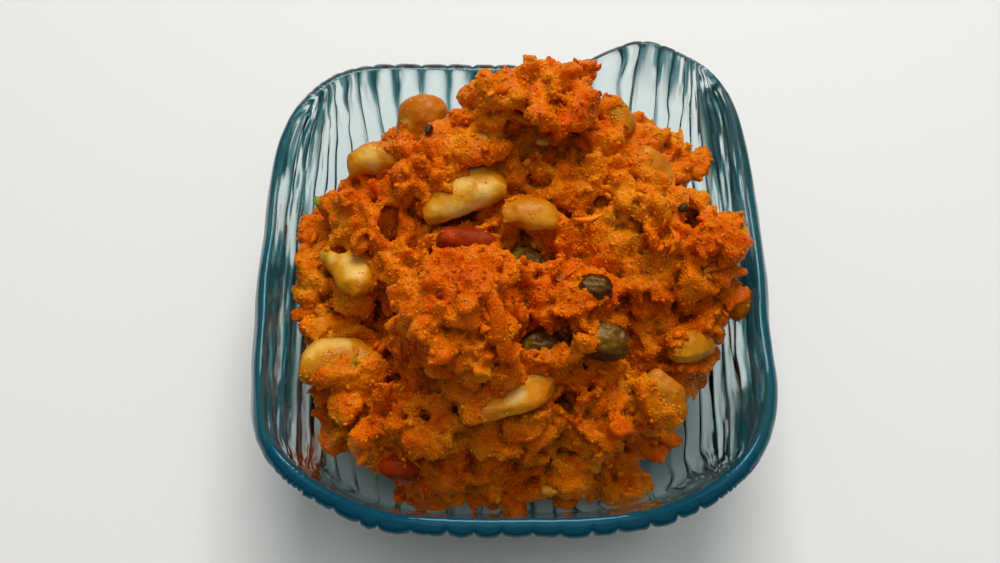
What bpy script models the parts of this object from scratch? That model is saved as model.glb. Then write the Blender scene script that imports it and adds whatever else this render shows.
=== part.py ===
"""Gajar halwa, a sweet of grated carrot with nuts and raisins, heaped in a small square dish of ribbed glass.

The origin is the middle of the dish's flat foot, +Z is up and -Y is the side that faces the viewer.
Sizes are in millimetres inside the functions and are turned to metres where a mesh is made.
"""

import math
import random

import bmesh
import bpy
import numpy as np
from mathutils import Matrix, Vector
from mathutils.bvhtree import BVHTree

MM = 0.001

# Dish: plan at the rim, profile of a side from the middle of the foot to the rim, and wall
HALF_X = 59.8
HALF_Y = 61.8
PLAN_POWER = 3.8
FOOT_HALF = 32.2
FILLET_R = 20.0
WALL_SLOPE = math.radians(72.0)
RIM_Z = 40.0
FLOOR_T = 4.6
RIM_T = 3.4
CROWN_RISE = 1.2
# The rim stands higher at its corners than between them: (bearing in degrees, rise, spread in degrees)
CORNER_RISES = (
    (45.0, 11.0, 15.0),
    (61.0, 8.0, 9.0),
    (135.0, 5.0, 17.0),
    (225.0, 11.0, 17.0),
    (315.0, 8.0, 17.0),
)
# Ribs run front to back over the whole underside, as in a sheet slumped into a mould
RIBS = 27
RIB_DEPTH = 0.95
RIB_ROWS = 16
# They flatten where they bunch at the corners
CORNER_FADE = 1.6

# Room that neighbouring solids leave each other, and what their flat facets take of it
CLEARANCE = 0.3
FACET_ROOM = 0.15

# Heap
CLUMP_VOXEL = 1.7
SKIN_VOXEL = 1.3
CORE_TRIANGLES = 3500
CLUMP_LUMP = 0.2
HOLLOW_LUMP = 0.15
LUMP_CELL = 0.62
CRAG_CELL = 6.4
CRAG_RISE = 2.1
GRIT_CELL = 2.6
GRIT_RISE = 0.5
SHREDS = 56
SHRED_GAP = 8.6
SHRED_TRIES = 12
SHRED_LOWEST = 13.0
# The room for the heap has as many rows as the dish, so that their facets keep their distance
ROOM_CELLS = RIB_ROWS
ABOVE_ALL = 110.0
SEED = 11

# Clumps of the heap: name, centre x, y, z, half sizes x, y, z
CLUMPS = (
    ("fill", 0, -2, 16, 43, 41, 17),
    ("body", -1, 0, 33, 33, 31, 22),
    ("crown", 6, 34, 57, 17, 12, 13),
    ("crown_back", 6, 30, 42, 20, 12, 16),
    ("crown_knob", 12, 39, 63, 9, 7, 7),
    ("rear_right", 19, 24, 47, 20, 14, 13),
    ("rear_lobe", 39, 33, 39, 10, 8, 9),
    ("rear_lobe_knob", 34, 36, 45, 6, 5, 5),
    ("right", 33, 6, 40, 20, 17, 17),
    ("right_shoulder", 28, 12, 49, 13, 9, 9),
    ("right_edge", 44, 0, 31, 9, 15, 15),
    ("right_fringe", 50, -4, 36, 5, 6, 6),
    ("right_low", 35, -14, 27, 13, 13, 14),
    ("centre", -12, -16, 47, 16, 16, 17),
    ("centre_knob", -15, -21, 56, 10, 9, 9),
    ("centre_right", 12, -13, 40, 13, 13, 14),
    ("middle_step", 7, 9.5, 42, 9, 6, 9),
    ("left", -32, 16, 38, 15, 16, 15),
    ("left_top", -17, 24, 48, 14, 11, 13),
    ("rear_left", -22, 34, 32, 13, 11, 13),
    ("left_front", -37, 2, 33, 9, 8, 9),
    ("left_edge", -44, 14, 30, 9, 14, 12),
    ("left_tip", -48, -4, 29, 5, 7, 6),
    ("left_under", -38, -8, 20, 12, 12, 12),
    ("left_low", -37, -22, 20, 12, 13, 12),
    ("front", -12, -34, 27, 25, 12, 16),
    ("front_right", 20, -29, 27, 18, 14, 15),
    ("ledge_left", -16, -42, 15, 14, 6, 7),
    ("ledge_right", 13, -41, 15, 19, 7, 8),
    ("front_corner", 34, -30, 17, 9, 9, 10),
)
# Hollows between the clumps, where the heap is dark: centre x, y, z, half sizes x, y, z
HOLLOWS = (
    (3.5, 1.0, 52.0, 8.0, 4.5, 7.5),
    (-33.0, -12.5, 37.0, 8.0, 4.5, 6.0),
    (-30.0, -40.0, 18.0, 6.5, 5.0, 4.0),
    (7.0, -20.0, 50.0, 10.0, 3.8, 10.0),
    (2.0, 25.5, 60.0, 14.0, 3.5, 6.0),
)

# Nuts, raisins and one large piece of carrot. Each has a kind, a place in plan, the share of its
# thickness that is sunk in the heap, its length, width and thickness, its heading in plan and its tilt
NUTS = (
    ("cashew_top", "cashew", -10.6, 14.8, 0.15, 20.5, 11.0, 7.5, 16, 8, -12),
    ("cashew_middle", "cashew", 4.2, 8.2, 0.40, 13.0, 8.5, 5.5, -4, -4, -20),
    ("almond_crown", "almond", -9.0, 25.0, 0.35, 19.0, 11.0, 6.0, -5, 6, -22),
    ("almond_front", "almond", -1.2, -31.0, 0.35, 25.0, 13.0, 6.0, 24, -10, -30),
    ("almond_rear", "almond", -21.0, 41.5, 0.30, 15.0, 12.5, 10.0, 80, 45, 0),
    ("cashew_rear_left", "cashew", -32.5, 26.8, 0.45, 13.0, 7.5, 6.0, 12, 6, 0),
    ("cashew_left", "cashew", -38.5, 1.5, 0.40, 17.0, 9.5, 6.0, -62, 18, -14),
    ("cashew_lower_left", "cashew", -40.0, -18.5, 0.35, 20.0, 12.0, 9.0, -4, -6, -10),
    ("raisin_green", "raisin", 20.3, -20.3, 0.35, 10.5, 8.5, 7.0, -12, 0, 0),
    ("raisin_dark", "raisin", 18.1, -10.0, 0.40, 8.0, 6.0, 5.5, -8, 0, 0),
    ("raisin_shade", "raisin", 6.2, -20.2, 0.35, 10.5, 7.5, 7.0, 10, 0, 0),
    ("raisin_hollow", "raisin", 3.6, 0.4, 0.35, 8.5, 6.5, 6.0, -35, 0, 0),
    ("cashew_right", "cashew", 40.8, -17.8, 0.55, 12.0, 7.5, 6.0, 24, -20, 0),
    ("almond_low_right", "almond", 33.5, -30.8, 0.60, 13.0, 9.0, 4.5, -50, -20, 25),
    ("almond_right_rear", "almond", 32.6, 21.6, 0.70, 13.0, 8.0, 5.0, -42, -16, 0),
    ("cashew_top_right", "cashew", 25.0, 34.5, 0.50, 10.0, 7.0, 6.0, -60, -20, 0),
    ("cashew_far_right", "cashew", 50.0, 4.0, 0.60, 12.0, 7.0, 6.0, -86, 0, 30),
    ("carrot_chunk", "carrot", -10.3, 2.4, 0.35, 14.0, 5.5, 4.5, -8, 0, 0),
)
# Each kind's form: bluntness of its two ends (low is blunt), bend, and depth of its under half
NUT_FORMS = {
    "almond": (0.60, 1.05, 0.0, 0.45),
    "cashew": (0.45, 0.62, 0.17, 0.80),
    "raisin": (0.50, 0.62, 0.05, 0.90),
    "carrot": (0.34, 0.60, 0.06, 0.70),
}
NUT_SIDES = 9
NUT_RINGS = 5

COLOURS = {
    "glass": ((0.36, 0.62, 0.66, 1.0), 0.05),
    "halwa": ((0.60, 0.17, 0.02, 1.0), 0.45),
    "almond": ((0.72, 0.46, 0.14, 1.0), 0.40),
    "cashew": ((0.70, 0.45, 0.12, 1.0), 0.40),
    "raisin": ((0.16, 0.10, 0.02, 1.0), 0.35),
    "carrot": ((0.50, 0.10, 0.01, 1.0), 0.35),
}


def clear_scene():
    """Removes the objects that the file starts with."""
    for obj in list(bpy.data.objects):
        bpy.data.objects.remove(obj)


def material(name):
    """A Principled material with the colour and roughness of one kind of piece."""
    found = bpy.data.materials.get(name)
    if found:
        return found
    colour, roughness = COLOURS[name]
    made = bpy.data.materials.new(name)
    made.use_nodes = True
    shader = made.node_tree.nodes["Principled BSDF"]
    shader.inputs["Base Color"].default_value = colour
    shader.inputs["Roughness"].default_value = roughness
    shader.inputs["Metallic"].default_value = 0.0
    made.diffuse_color = colour
    return made


def mesh_object(name, points, faces, kind=None):
    """A linked mesh object from points in millimetres."""
    mesh = bpy.data.meshes.new(name)
    mesh.from_pydata((np.asarray(points) * MM).tolist(), [], [tuple(f) for f in faces])
    mesh.update()
    obj = bpy.data.objects.new(name, mesh)
    bpy.context.scene.collection.objects.link(obj)
    if kind:
        mesh.materials.append(material(kind))
    return obj


def smoothstep(value, low, high):
    share = np.clip((value - low) / (high - low), 0.0, 1.0)
    return share * share * (3.0 - 2.0 * share)


# Dish


def side_profile(share):
    """Half width and height of the underside at a share of the way from the foot's middle to the rim."""
    fillet = FILLET_R * WALL_SLOPE
    wall_start_z = FILLET_R * (1.0 - math.cos(WALL_SLOPE))
    wall = (RIM_Z - wall_start_z) / math.sin(WALL_SLOPE)
    along = share * (FOOT_HALF + fillet + wall)
    turn = np.clip((along - FOOT_HALF) / FILLET_R, 0.0, WALL_SLOPE)
    up_wall = np.maximum(along - FOOT_HALF - fillet, 0.0)
    half = np.minimum(along, FOOT_HALF) + FILLET_R * np.sin(turn) + up_wall * math.cos(WALL_SLOPE)
    height = FILLET_R * (1.0 - np.cos(turn)) + up_wall * math.sin(WALL_SLOPE)
    return half, height


def side_share(half):
    """The share of the way from the foot's middle to the rim at which a side has this half width."""
    fillet_end = FOOT_HALF + FILLET_R * math.sin(WALL_SLOPE)
    wall = (RIM_Z - FILLET_R * (1.0 - math.cos(WALL_SLOPE))) / math.sin(WALL_SLOPE)
    turn = np.arcsin(np.clip((half - FOOT_HALF) / FILLET_R, 0.0, math.sin(WALL_SLOPE)))
    up_wall = np.maximum(half - fillet_end, 0.0) / math.cos(WALL_SLOPE)
    return (np.minimum(half, FOOT_HALF) + FILLET_R * turn + up_wall) / (FOOT_HALF + FILLET_R * WALL_SLOPE + wall)


def share_at(plan_x, plan_y):
    """The share of the way to the rim at a place in plan, given in shares of the rim's half widths."""
    gauge = (np.abs(plan_x) ** PLAN_POWER + np.abs(plan_y) ** PLAN_POWER) ** (1.0 / PLAN_POWER)
    return side_share(gauge * side_profile(np.array(1.0))[0])


def underside(plan_x, plan_y):
    """Points of the underside without its ribs, over places in plan in shares of the rim's half widths."""
    share = share_at(plan_x, plan_y)
    bearing = np.arctan2(plan_y, plan_x)
    rise = np.zeros_like(share)
    for degrees, lift, spread in CORNER_RISES:
        away = (np.degrees(bearing) - degrees + 180.0) % 360.0 - 180.0
        rise += lift * np.exp(-((away / spread) ** 2))
    height = side_profile(share)[1] + rise * smoothstep(share, 0.55, 1.0)
    return np.stack([HALF_X * plan_x, HALF_Y * plan_y, height], -1)


def into_dish(plan_x, plan_y):
    """Unit vectors from the underside towards the inside of the dish."""
    step = 1e-3
    along_x = underside(plan_x + step, plan_y) - underside(plan_x - step, plan_y)
    along_y = underside(plan_x, plan_y + step) - underside(plan_x, plan_y - step)
    normal = np.cross(along_x, along_y)
    return normal / np.linalg.norm(normal, axis=-1, keepdims=True)


def bunching(s, t):
    """How much the sheet's lines are drawn together, from 0 on its axes to 0.5 at its corners."""
    rim = side_profile(np.array(1.0))[0]
    side, end = (side_profile(np.abs(s))[0] / rim) ** PLAN_POWER, (side_profile(np.abs(t))[0] / rim) ** PLAN_POWER
    return side * end / np.maximum(side + end, 1e-9)


def sheet_grid(columns, rows):
    """A flat square sheet's own coordinates from -1 to 1, and where its grid lies in plan.

    The sheet lies flat on the foot and bends up the sides, so its lines run straight in plan and
    bunch only at the rounded corners, and its border becomes the rim.
    """
    s, t = np.meshgrid(np.linspace(-1, 1, columns + 1), np.linspace(-1, 1, rows + 1), indexing="ij")
    rim = side_profile(np.array(1.0))[0]
    pull = (1.0 - bunching(s, t)) ** (1.0 / PLAN_POWER) / rim
    plan_x = np.sign(s) * side_profile(np.abs(s))[0] * pull
    plan_y = np.sign(t) * side_profile(np.abs(t))[0] * pull
    return plan_x, plan_y, s, t


def wall_thickness(share):
    return FLOOR_T + (RIM_T - FLOOR_T) * smoothstep(share, 0.35, 1.0)


def grid_triangles(columns, rows):
    """Triangles of a sheet grid whose diagonals run from the middle to the corners, facing up."""
    triangles = []
    for i in range(columns):
        for j in range(rows):
            a, b = i * (rows + 1) + j, (i + 1) * (rows + 1) + j
            c, d = b + 1, a + 1
            if (i + 0.5 - columns / 2) * (j + 0.5 - rows / 2) > 0:
                triangles += [(a, b, c), (a, c, d)]
            else:
                triangles += [(a, b, d), (b, c, d)]
    return triangles


def grid_border(columns, rows):
    """Indices of a sheet grid's border, counter-clockwise from above."""
    index = np.arange((columns + 1) * (rows + 1)).reshape(columns + 1, rows + 1)
    return np.concatenate([index[:-1, 0], index[-1, :-1], index[:0:-1, -1], index[0, :0:-1]]).tolist()


def band(low, high):
    """Triangles between two closed rings of equally many indices, facing away from their middle."""
    triangles = []
    for k in range(len(low)):
        m = (k + 1) % len(low)
        triangles += [(low[k], low[m], high[m]), (low[k], high[m], high[k])]
    return triangles


def make_dish():
    """The glass dish: a ribbed underside, a rounded rim and a plain inside, as one shell."""
    columns, rows = 2 * RIBS, RIB_ROWS
    plan_x, plan_y, s, t = sheet_grid(columns, rows)
    share = share_at(plan_x, plan_y)
    smooth = underside(plan_x, plan_y)
    inward = into_dish(plan_x, plan_y)
    crest = (0.5 + 0.5 * np.cos(math.pi * RIBS * s)) * (1.0 - CORNER_FADE * bunching(s, t))
    draw = np.random.default_rng(SEED).uniform(0.55, 1.0, columns + 1)[:, None]
    depth = RIB_DEPTH * crest * draw * smoothstep(share, 0.47, 0.62)
    outer = smooth - inward * depth[..., None]
    inner = smooth + inward * wall_thickness(share)[..., None]
    outer, inner = outer.reshape(-1, 3), inner.reshape(-1, 3)
    border = grid_border(columns, rows)
    crown = (outer[border] + inner[border]) / 2.0 + np.array([0.0, 0.0, CROWN_RISE])
    count = len(outer)
    inner_border = [index + count for index in border]
    crown_ring = list(range(2 * count, 2 * count + len(border)))
    sheet = grid_triangles(columns, rows)
    triangles = [(c, b, a) for a, b, c in sheet]
    triangles += [(a + count, b + count, c + count) for a, b, c in sheet]
    triangles += band(border, crown_ring) + band(crown_ring, inner_border)
    dish = mesh_object("dish", np.concatenate([outer, inner, crown]), triangles, "glass")
    dish.data.shade_smooth()
    return dish


def make_room():
    """The space that the dish leaves for the heap: its inside less the clearance, carried on upwards."""
    plan_x, plan_y, _, _ = sheet_grid(ROOM_CELLS, ROOM_CELLS)
    inset = wall_thickness(share_at(plan_x, plan_y)) + CLEARANCE + FACET_ROOM
    floor = (underside(plan_x, plan_y) + into_dish(plan_x, plan_y) * inset[..., None]).reshape(-1, 3)
    lid = floor.copy()
    lid[:, 2] = ABOVE_ALL
    count = len(floor)
    border = grid_border(ROOM_CELLS, ROOM_CELLS)
    sheet = grid_triangles(ROOM_CELLS, ROOM_CELLS)
    triangles = [(c, b, a) for a, b, c in sheet]
    triangles += [(a + count, b + count, c + count) for a, b, c in sheet]
    triangles += band(border, [index + count for index in border])
    return mesh_object("room", np.concatenate([floor, lid]), triangles)


# Heap


def lattice_noise(points, cell, seed):
    """Smooth noise from -1 to 1: random values on a lattice of the cell's size, eased between corners."""
    side = 48
    table = np.random.default_rng(seed).uniform(-1.0, 1.0, (side, side, side))
    place = points / cell + 1000.0
    base = np.floor(place).astype(int)
    part = place - base
    ease = part * part * (3.0 - 2.0 * part)
    total = np.zeros(len(points))
    for step in np.ndindex(2, 2, 2):
        corner = (base + step) % side
        weight = np.abs(1.0 - np.array(step) - ease).prod(axis=1)
        total += weight * table[corner[:, 0], corner[:, 1], corner[:, 2]]
    return total


def ball(centre, halves, lump, seed):
    """A closed ball of about 640 points, stretched to its half sizes and lumped by noise."""
    form = bmesh.new()
    bmesh.ops.create_icosphere(form, subdivisions=4, radius=1.0)
    unit = np.array([v.co for v in form.verts])
    faces = [[v.index for v in f.verts] for f in form.faces]
    form.free()
    halves = np.array(halves, float)
    points = unit * halves
    swell = 1.0 + lump * lattice_noise(points, LUMP_CELL * halves.min(), SEED + seed)
    return points * swell[:, None] + np.array(centre, float), faces


def taken(obj):
    """Replaces an object's mesh by what its modifiers make, and removes them."""
    graph = bpy.context.evaluated_depsgraph_get()
    result = bpy.data.meshes.new_from_object(obj.evaluated_get(graph))
    obj.modifiers.clear()
    old, obj.data = obj.data, result
    bpy.data.meshes.remove(old)
    return obj


def read_points(mesh):
    flat = np.empty(len(mesh.vertices) * 3)
    mesh.vertices.foreach_get("co", flat)
    return flat.reshape(-1, 3) / MM


def read_normals(mesh):
    flat = np.empty(len(mesh.vertices) * 3)
    mesh.vertex_normals.foreach_get("vector", flat)
    return flat.reshape(-1, 3)


def boolean(obj, other, operation):
    """Applies one Boolean with an object, or with a collection of objects, and removes what it used.

    The manifold solver is used because the exact one leaves edges that touch on so rough a skin.
    """
    cut = obj.modifiers.new("cut", "BOOLEAN")
    cut.operation = operation
    cut.solver = "MANIFOLD"
    if isinstance(other, bpy.types.Collection):
        cut.operand_type = "COLLECTION"
        cut.collection = other
    else:
        cut.object = other
    taken(obj)
    if isinstance(other, bpy.types.Collection):
        for member in list(other.objects):
            bpy.data.objects.remove(member)
        bpy.data.collections.remove(other)
    else:
        bpy.data.objects.remove(other)
    return obj


def fused(obj, voxel):
    """Melts an object's overlapping bodies into one closed skin of cells of about the voxel's size."""
    fuse = obj.modifiers.new("fuse", "REMESH")
    fuse.mode = "VOXEL"
    fuse.voxel_size = voxel * MM
    return taken(obj)


def move_to(collection, obj):
    bpy.context.scene.collection.objects.unlink(obj)
    collection.objects.link(obj)


def make_core():
    """The heap's clumps fused into one closed skin, less the hollows, with crags and grit raised on it."""
    points, faces = [], []
    for number, (_, x, y, z, half_x, half_y, half_z) in enumerate(CLUMPS):
        found, triangles = ball((x, y, z), (half_x, half_y, half_z), CLUMP_LUMP, number)
        offset = number * len(found)
        points.append(found)
        faces += [[v + offset for v in face] for face in triangles]
    core = fused(mesh_object("halwa", np.concatenate(points), faces), CLUMP_VOXEL)
    hollows = bpy.data.collections.new("hollows")
    for number, (x, y, z, half_x, half_y, half_z) in enumerate(HOLLOWS, len(CLUMPS)):
        found, triangles = ball((x, y, z), (half_x, half_y, half_z), HOLLOW_LUMP, number)
        move_to(hollows, mesh_object(f"hollow_{number}", found, triangles))
    fused(boolean(core, hollows, "DIFFERENCE"), SKIN_VOXEL)
    places, normals = read_points(core.data), read_normals(core.data)
    crag = CRAG_RISE * lattice_noise(places, CRAG_CELL, SEED + 1)
    grit = GRIT_RISE * lattice_noise(places, GRIT_CELL, SEED + 2)
    places += normals * (crag + grit)[:, None]
    core.data.vertices.foreach_set("co", (places * MM).ravel())
    core.data.update()
    fused(core, SKIN_VOXEL)
    thin = core.modifiers.new("thin", "DECIMATE")
    thin.use_collapse_triangulate = True
    core.data.calc_loop_triangles()
    thin.ratio = CORE_TRIANGLES / len(core.data.loop_triangles)
    return taken(core)


def strip(length, width, thick, curl, twist):
    """A shred of grated carrot along X: three square sections, narrower at the ends, bent and twisted."""
    points = []
    for share in (-0.5, 0.0, 0.5):
        half_w = width / 2.0 * (1.0 if share == 0.0 else 0.55)
        half_t = thick / 2.0 * (1.0 if share == 0.0 else 0.7)
        turn = twist * share
        for y, z in ((-half_w, -half_t), (half_w, -half_t), (half_w, half_t), (-half_w, half_t)):
            points.append(
                (
                    share * length,
                    y * math.cos(turn) - z * math.sin(turn) + curl * 0.6 * share * share * length,
                    y * math.sin(turn) + z * math.cos(turn) - curl * share * share * length,
                )
            )
    faces = [(3, 2, 1, 0), (8, 9, 10, 11)]
    for ring in (0, 4):
        for k in range(4):
            m = (k + 1) % 4
            faces.append((ring + k, ring + m, ring + 4 + m, ring + 4 + k))
    return np.array(points), faces


def scatter_shreds(core):
    """A collection of shreds half laid into the core's open surface, spread evenly by a seeded rule."""
    rng = random.Random(SEED)
    core.data.calc_loop_triangles()
    lowest = SHRED_LOWEST * MM
    open_faces = [t for t in core.data.loop_triangles if t.normal.z > -0.35 and t.center.z > lowest]
    areas = [t.area for t in open_faces]
    shreds = bpy.data.collections.new("shreds")
    placed = []
    for _ in range(SHREDS * SHRED_TRIES):
        if len(placed) == SHREDS:
            break
        spot = rng.choices(open_faces, areas)[0]
        centre = spot.center.copy()
        if any((centre - other).length < SHRED_GAP * MM for other in placed):
            continue
        length, width, thick = rng.uniform(6.5, 11.0), rng.uniform(1.9, 2.8), rng.uniform(1.2, 1.7)
        points, faces = strip(length, width, thick, rng.uniform(-0.25, 0.4), rng.uniform(-0.8, 0.8))
        up = spot.normal.copy()
        heading = up.orthogonal().normalized()
        heading.rotate(Matrix.Rotation(rng.uniform(0.0, math.tau), 3, up))
        side = up.cross(heading)
        tilt = Matrix.Rotation(math.radians(rng.uniform(-16.0, 16.0)), 3, side)
        frame = tilt @ Matrix((heading, side, up)).transposed()
        shred = mesh_object(f"shred_{len(placed)}", points, faces)
        lift = rng.uniform(0.1, 0.7) * MM
        shred.data.transform(Matrix.Translation(centre + up * lift) @ frame.to_4x4())
        move_to(shreds, shred)
        placed.append(centre)
    return shreds


# Nuts


def nut_points(kind, length, width, thick, grow):
    """Points and faces of one nut along X: rings of an oval, shaped along the length by its kind.

    grow adds room on every side, for the pocket that the nut lies in.
    """
    length, width, thick = length + 2 * grow, width + 2 * grow, thick + 2 * grow
    near_end, far_end, bend, flat = NUT_FORMS[kind]
    rings = []
    for i in range(1, NUT_RINGS + 1):
        share = i / (NUT_RINGS + 1)
        girth = 1.12 * math.sin(math.pi * share) ** (near_end if share < 0.5 else far_end)
        middle_y = bend * length * (math.sin(math.pi * share) - 0.6)
        x = -math.cos(math.pi * share) * length / 2.0
        for k in range(NUT_SIDES):
            angle = math.tau * k / NUT_SIDES
            z = math.sin(angle) * thick / 2.0 * girth
            rings.append((x, middle_y + math.cos(angle) * width / 2.0 * girth, z if z > 0 else z * flat))
    end_y = -0.6 * bend * length
    points = [(-length / 2.0, end_y, 0.0)] + rings + [(length / 2.0, end_y, 0.0)]
    faces = []
    last = len(points) - 1
    for k in range(NUT_SIDES):
        m = (k + 1) % NUT_SIDES
        faces.append((0, 1 + m, 1 + k))
        faces.append((last, last - NUT_SIDES + k, last - NUT_SIDES + m))
        for ring in range(NUT_RINGS - 1):
            a, b = 1 + ring * NUT_SIDES, 1 + (ring + 1) * NUT_SIDES
            faces.append((a + k, a + m, b + m, b + k))
    return np.array(points), faces


def turned(points, heading, pitch, roll):
    """Points rolled about X, pitched about Y and turned to their heading about Z, in degrees."""
    turn = Matrix.Rotation(math.radians(heading), 3, "Z")
    turn = turn @ Matrix.Rotation(math.radians(-pitch), 3, "Y") @ Matrix.Rotation(math.radians(roll), 3, "X")
    return points @ np.array(turn).T


def make_nuts(core):
    """The nuts, each laid on the heap where its place in plan says, and their pockets as a collection."""
    tree = BVHTree.FromObject(core, bpy.context.evaluated_depsgraph_get())
    pockets = bpy.data.collections.new("pockets")
    nuts = []
    for name, kind, x, y, sunk, length, width, thick, heading, pitch, roll in NUTS:
        hit, _, _, _ = tree.ray_cast(Vector((x, y, ABOVE_ALL)) * MM, Vector((0, 0, -1)))
        middle = np.array([x, y, hit.z / MM + thick * (0.5 - sunk)])
        points, faces = nut_points(kind, length, width, thick, 0.0)
        nut = mesh_object(name, turned(points, heading, pitch, roll) + middle, faces, kind)
        nut.data.shade_smooth()
        nuts.append(nut)
        points, faces = nut_points(kind, length, width, thick, CLEARANCE + FACET_ROOM)
        points = turned(points, heading, pitch, roll) + middle
        move_to(pockets, mesh_object(f"pocket_{name}", points, faces))
    return nuts, pockets


def tidy_skin(obj):
    """Drops loose scraps, all but the largest piece that hangs together, and splits the faces.

    Points between only two faces are dissolved first, because splitting both faces there would lay
    two thin triangles back to back.
    """
    form = bmesh.new()
    form.from_mesh(obj.data)
    left, groups = set(form.verts), []
    while left:
        group, front = set(), [left.pop()]
        while front:
            vert = front.pop()
            group.add(vert)
            for edge in vert.link_edges:
                other = edge.other_vert(vert)
                if other in left:
                    left.discard(other)
                    front.append(other)
        groups.append(group)
    groups.sort(key=len)
    for group in groups[:-1]:
        bmesh.ops.delete(form, geom=list(group), context="VERTS")
    between = [v for v in form.verts if len(v.link_edges) == 2]
    while between:
        bmesh.ops.dissolve_verts(form, verts=between)
        between = [v for v in form.verts if len(v.link_edges) == 2]
    bmesh.ops.triangulate(form, faces=form.faces[:])
    form.to_mesh(obj.data)
    form.free()
    return obj


def make_heap():
    """The heap with its shreds, fitted into the dish and round the nuts."""
    core = make_core()
    nuts, pockets = make_nuts(core)
    boolean(core, scatter_shreds(core), "UNION")
    boolean(core, make_room(), "INTERSECT")
    boolean(core, pockets, "DIFFERENCE")
    tidy_skin(core)
    core.data.materials.clear()
    core.data.materials.append(material("halwa"))
    return core, nuts


clear_scene()
make_dish()
make_heap()
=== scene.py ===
"""Looks of a helping of gajar halwa, heaped in its small square dish of ribbed blue-green glass.

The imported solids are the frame. The glass, the sweet, the nuts and the raisins are each made anew here
as finer surfaces of the same form, with the shreds, grains and crumbs that the solids leave out.
Lengths are in millimetres, and become metres where a mesh is made.
"""

import logging
import math
import time
from dataclasses import dataclass, field
from enum import Enum

import bpy
import numpy as np
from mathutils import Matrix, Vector


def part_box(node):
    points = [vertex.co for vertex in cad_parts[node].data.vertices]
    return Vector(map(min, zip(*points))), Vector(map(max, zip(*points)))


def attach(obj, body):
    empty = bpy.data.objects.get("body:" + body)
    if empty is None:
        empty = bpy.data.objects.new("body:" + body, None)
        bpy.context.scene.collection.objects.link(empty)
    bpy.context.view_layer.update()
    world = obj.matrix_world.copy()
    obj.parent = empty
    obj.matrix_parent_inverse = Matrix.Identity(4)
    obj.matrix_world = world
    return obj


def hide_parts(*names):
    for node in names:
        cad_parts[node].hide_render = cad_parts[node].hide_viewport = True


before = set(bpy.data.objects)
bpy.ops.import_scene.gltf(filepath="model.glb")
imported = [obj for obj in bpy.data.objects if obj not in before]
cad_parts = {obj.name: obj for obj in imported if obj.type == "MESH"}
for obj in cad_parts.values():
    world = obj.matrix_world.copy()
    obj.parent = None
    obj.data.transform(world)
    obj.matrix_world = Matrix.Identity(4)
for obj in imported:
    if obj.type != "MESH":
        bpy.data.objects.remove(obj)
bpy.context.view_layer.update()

MM = 0.001
SEED = 11
BODY = "root"
log = logging.getLogger("halwa")


def linear(colour: str) -> tuple[float, float, float, float]:
    """Turns an sRGB hex colour to linear light.

    Args:
        colour: Six hex digits after a hash sign.

    Returns:
        Red, green, blue and an alpha of 1, as a shader's socket takes them.
    """
    parts = [int(colour[k : k + 2], 16) / 255.0 for k in (1, 3, 5)]
    red, green, blue = (c / 12.92 if c <= 0.04045 else ((c + 0.055) / 1.055) ** 2.4 for c in parts)
    return red, green, blue, 1.0


def smoothstep(value: np.ndarray, low: float, high: float) -> np.ndarray:
    """Eases from 0 at low to 1 at high: the share of the way s becomes 3s² - 2s³."""
    share = np.clip((value - low) / (high - low), 0.0, 1.0)
    return share * share * (3.0 - 2.0 * share)


def lattice_noise(points: np.ndarray, cell: float | tuple[float, float, float], seed: int) -> np.ndarray:
    """Smooth noise: random values on the corners of a lattice, eased between the corners.

    Args:
        points: Places, one row each.
        cell: The lattice's cell, one size or one for each axis.
        seed: Seed of the random values.

    Returns:
        A value from -1 to 1 for each place.
    """
    side = 48
    table = np.random.default_rng(seed).uniform(-1.0, 1.0, (side, side, side))
    place = points / np.asarray(cell, float) + 1000.0
    base = np.floor(place).astype(int)
    part = place - base
    ease = part * part * (3.0 - 2.0 * part)
    total = np.zeros(len(points))
    for step in np.ndindex(2, 2, 2):
        corner = (base + step) % side
        weight = np.abs(1.0 - np.array(step) - ease).prod(axis=1)
        total += weight * table[corner[:, 0], corner[:, 1], corner[:, 2]]
    return total


def cell_distances(points: np.ndarray, cell: float, seed: int) -> tuple[np.ndarray, np.ndarray]:
    """Distances to the nearest and the next of a set of random seeds, one in each cell of a lattice.

    The first is small on the middle of a grain. The two are alike in the seams between grains.

    Args:
        points: Places, one row each.
        cell: The lattice's cell.
        seed: Seed of the random places.

    Returns:
        The two distances, in cells.
    """
    side = 32
    table = np.random.default_rng(seed).uniform(0.0, 1.0, (side, side, side, 3))
    place = points / cell + 1000.0
    base = np.floor(place).astype(int)
    nearest, second = np.full(len(points), 9.0), np.full(len(points), 9.0)
    for step in np.ndindex(3, 3, 3):
        corner = base + step - 1
        slot = corner % side
        gap = corner + table[slot[:, 0], slot[:, 1], slot[:, 2]] - place
        found = (gap * gap).sum(axis=1)
        second = np.minimum(second, np.maximum(nearest, found))
        nearest = np.minimum(nearest, found)
    return np.sqrt(nearest), np.sqrt(second)


def unit(vectors: np.ndarray) -> np.ndarray:
    """Vectors scaled to length 1."""
    return vectors / np.maximum(np.linalg.norm(vectors, axis=-1, keepdims=True), 1e-12)


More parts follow.
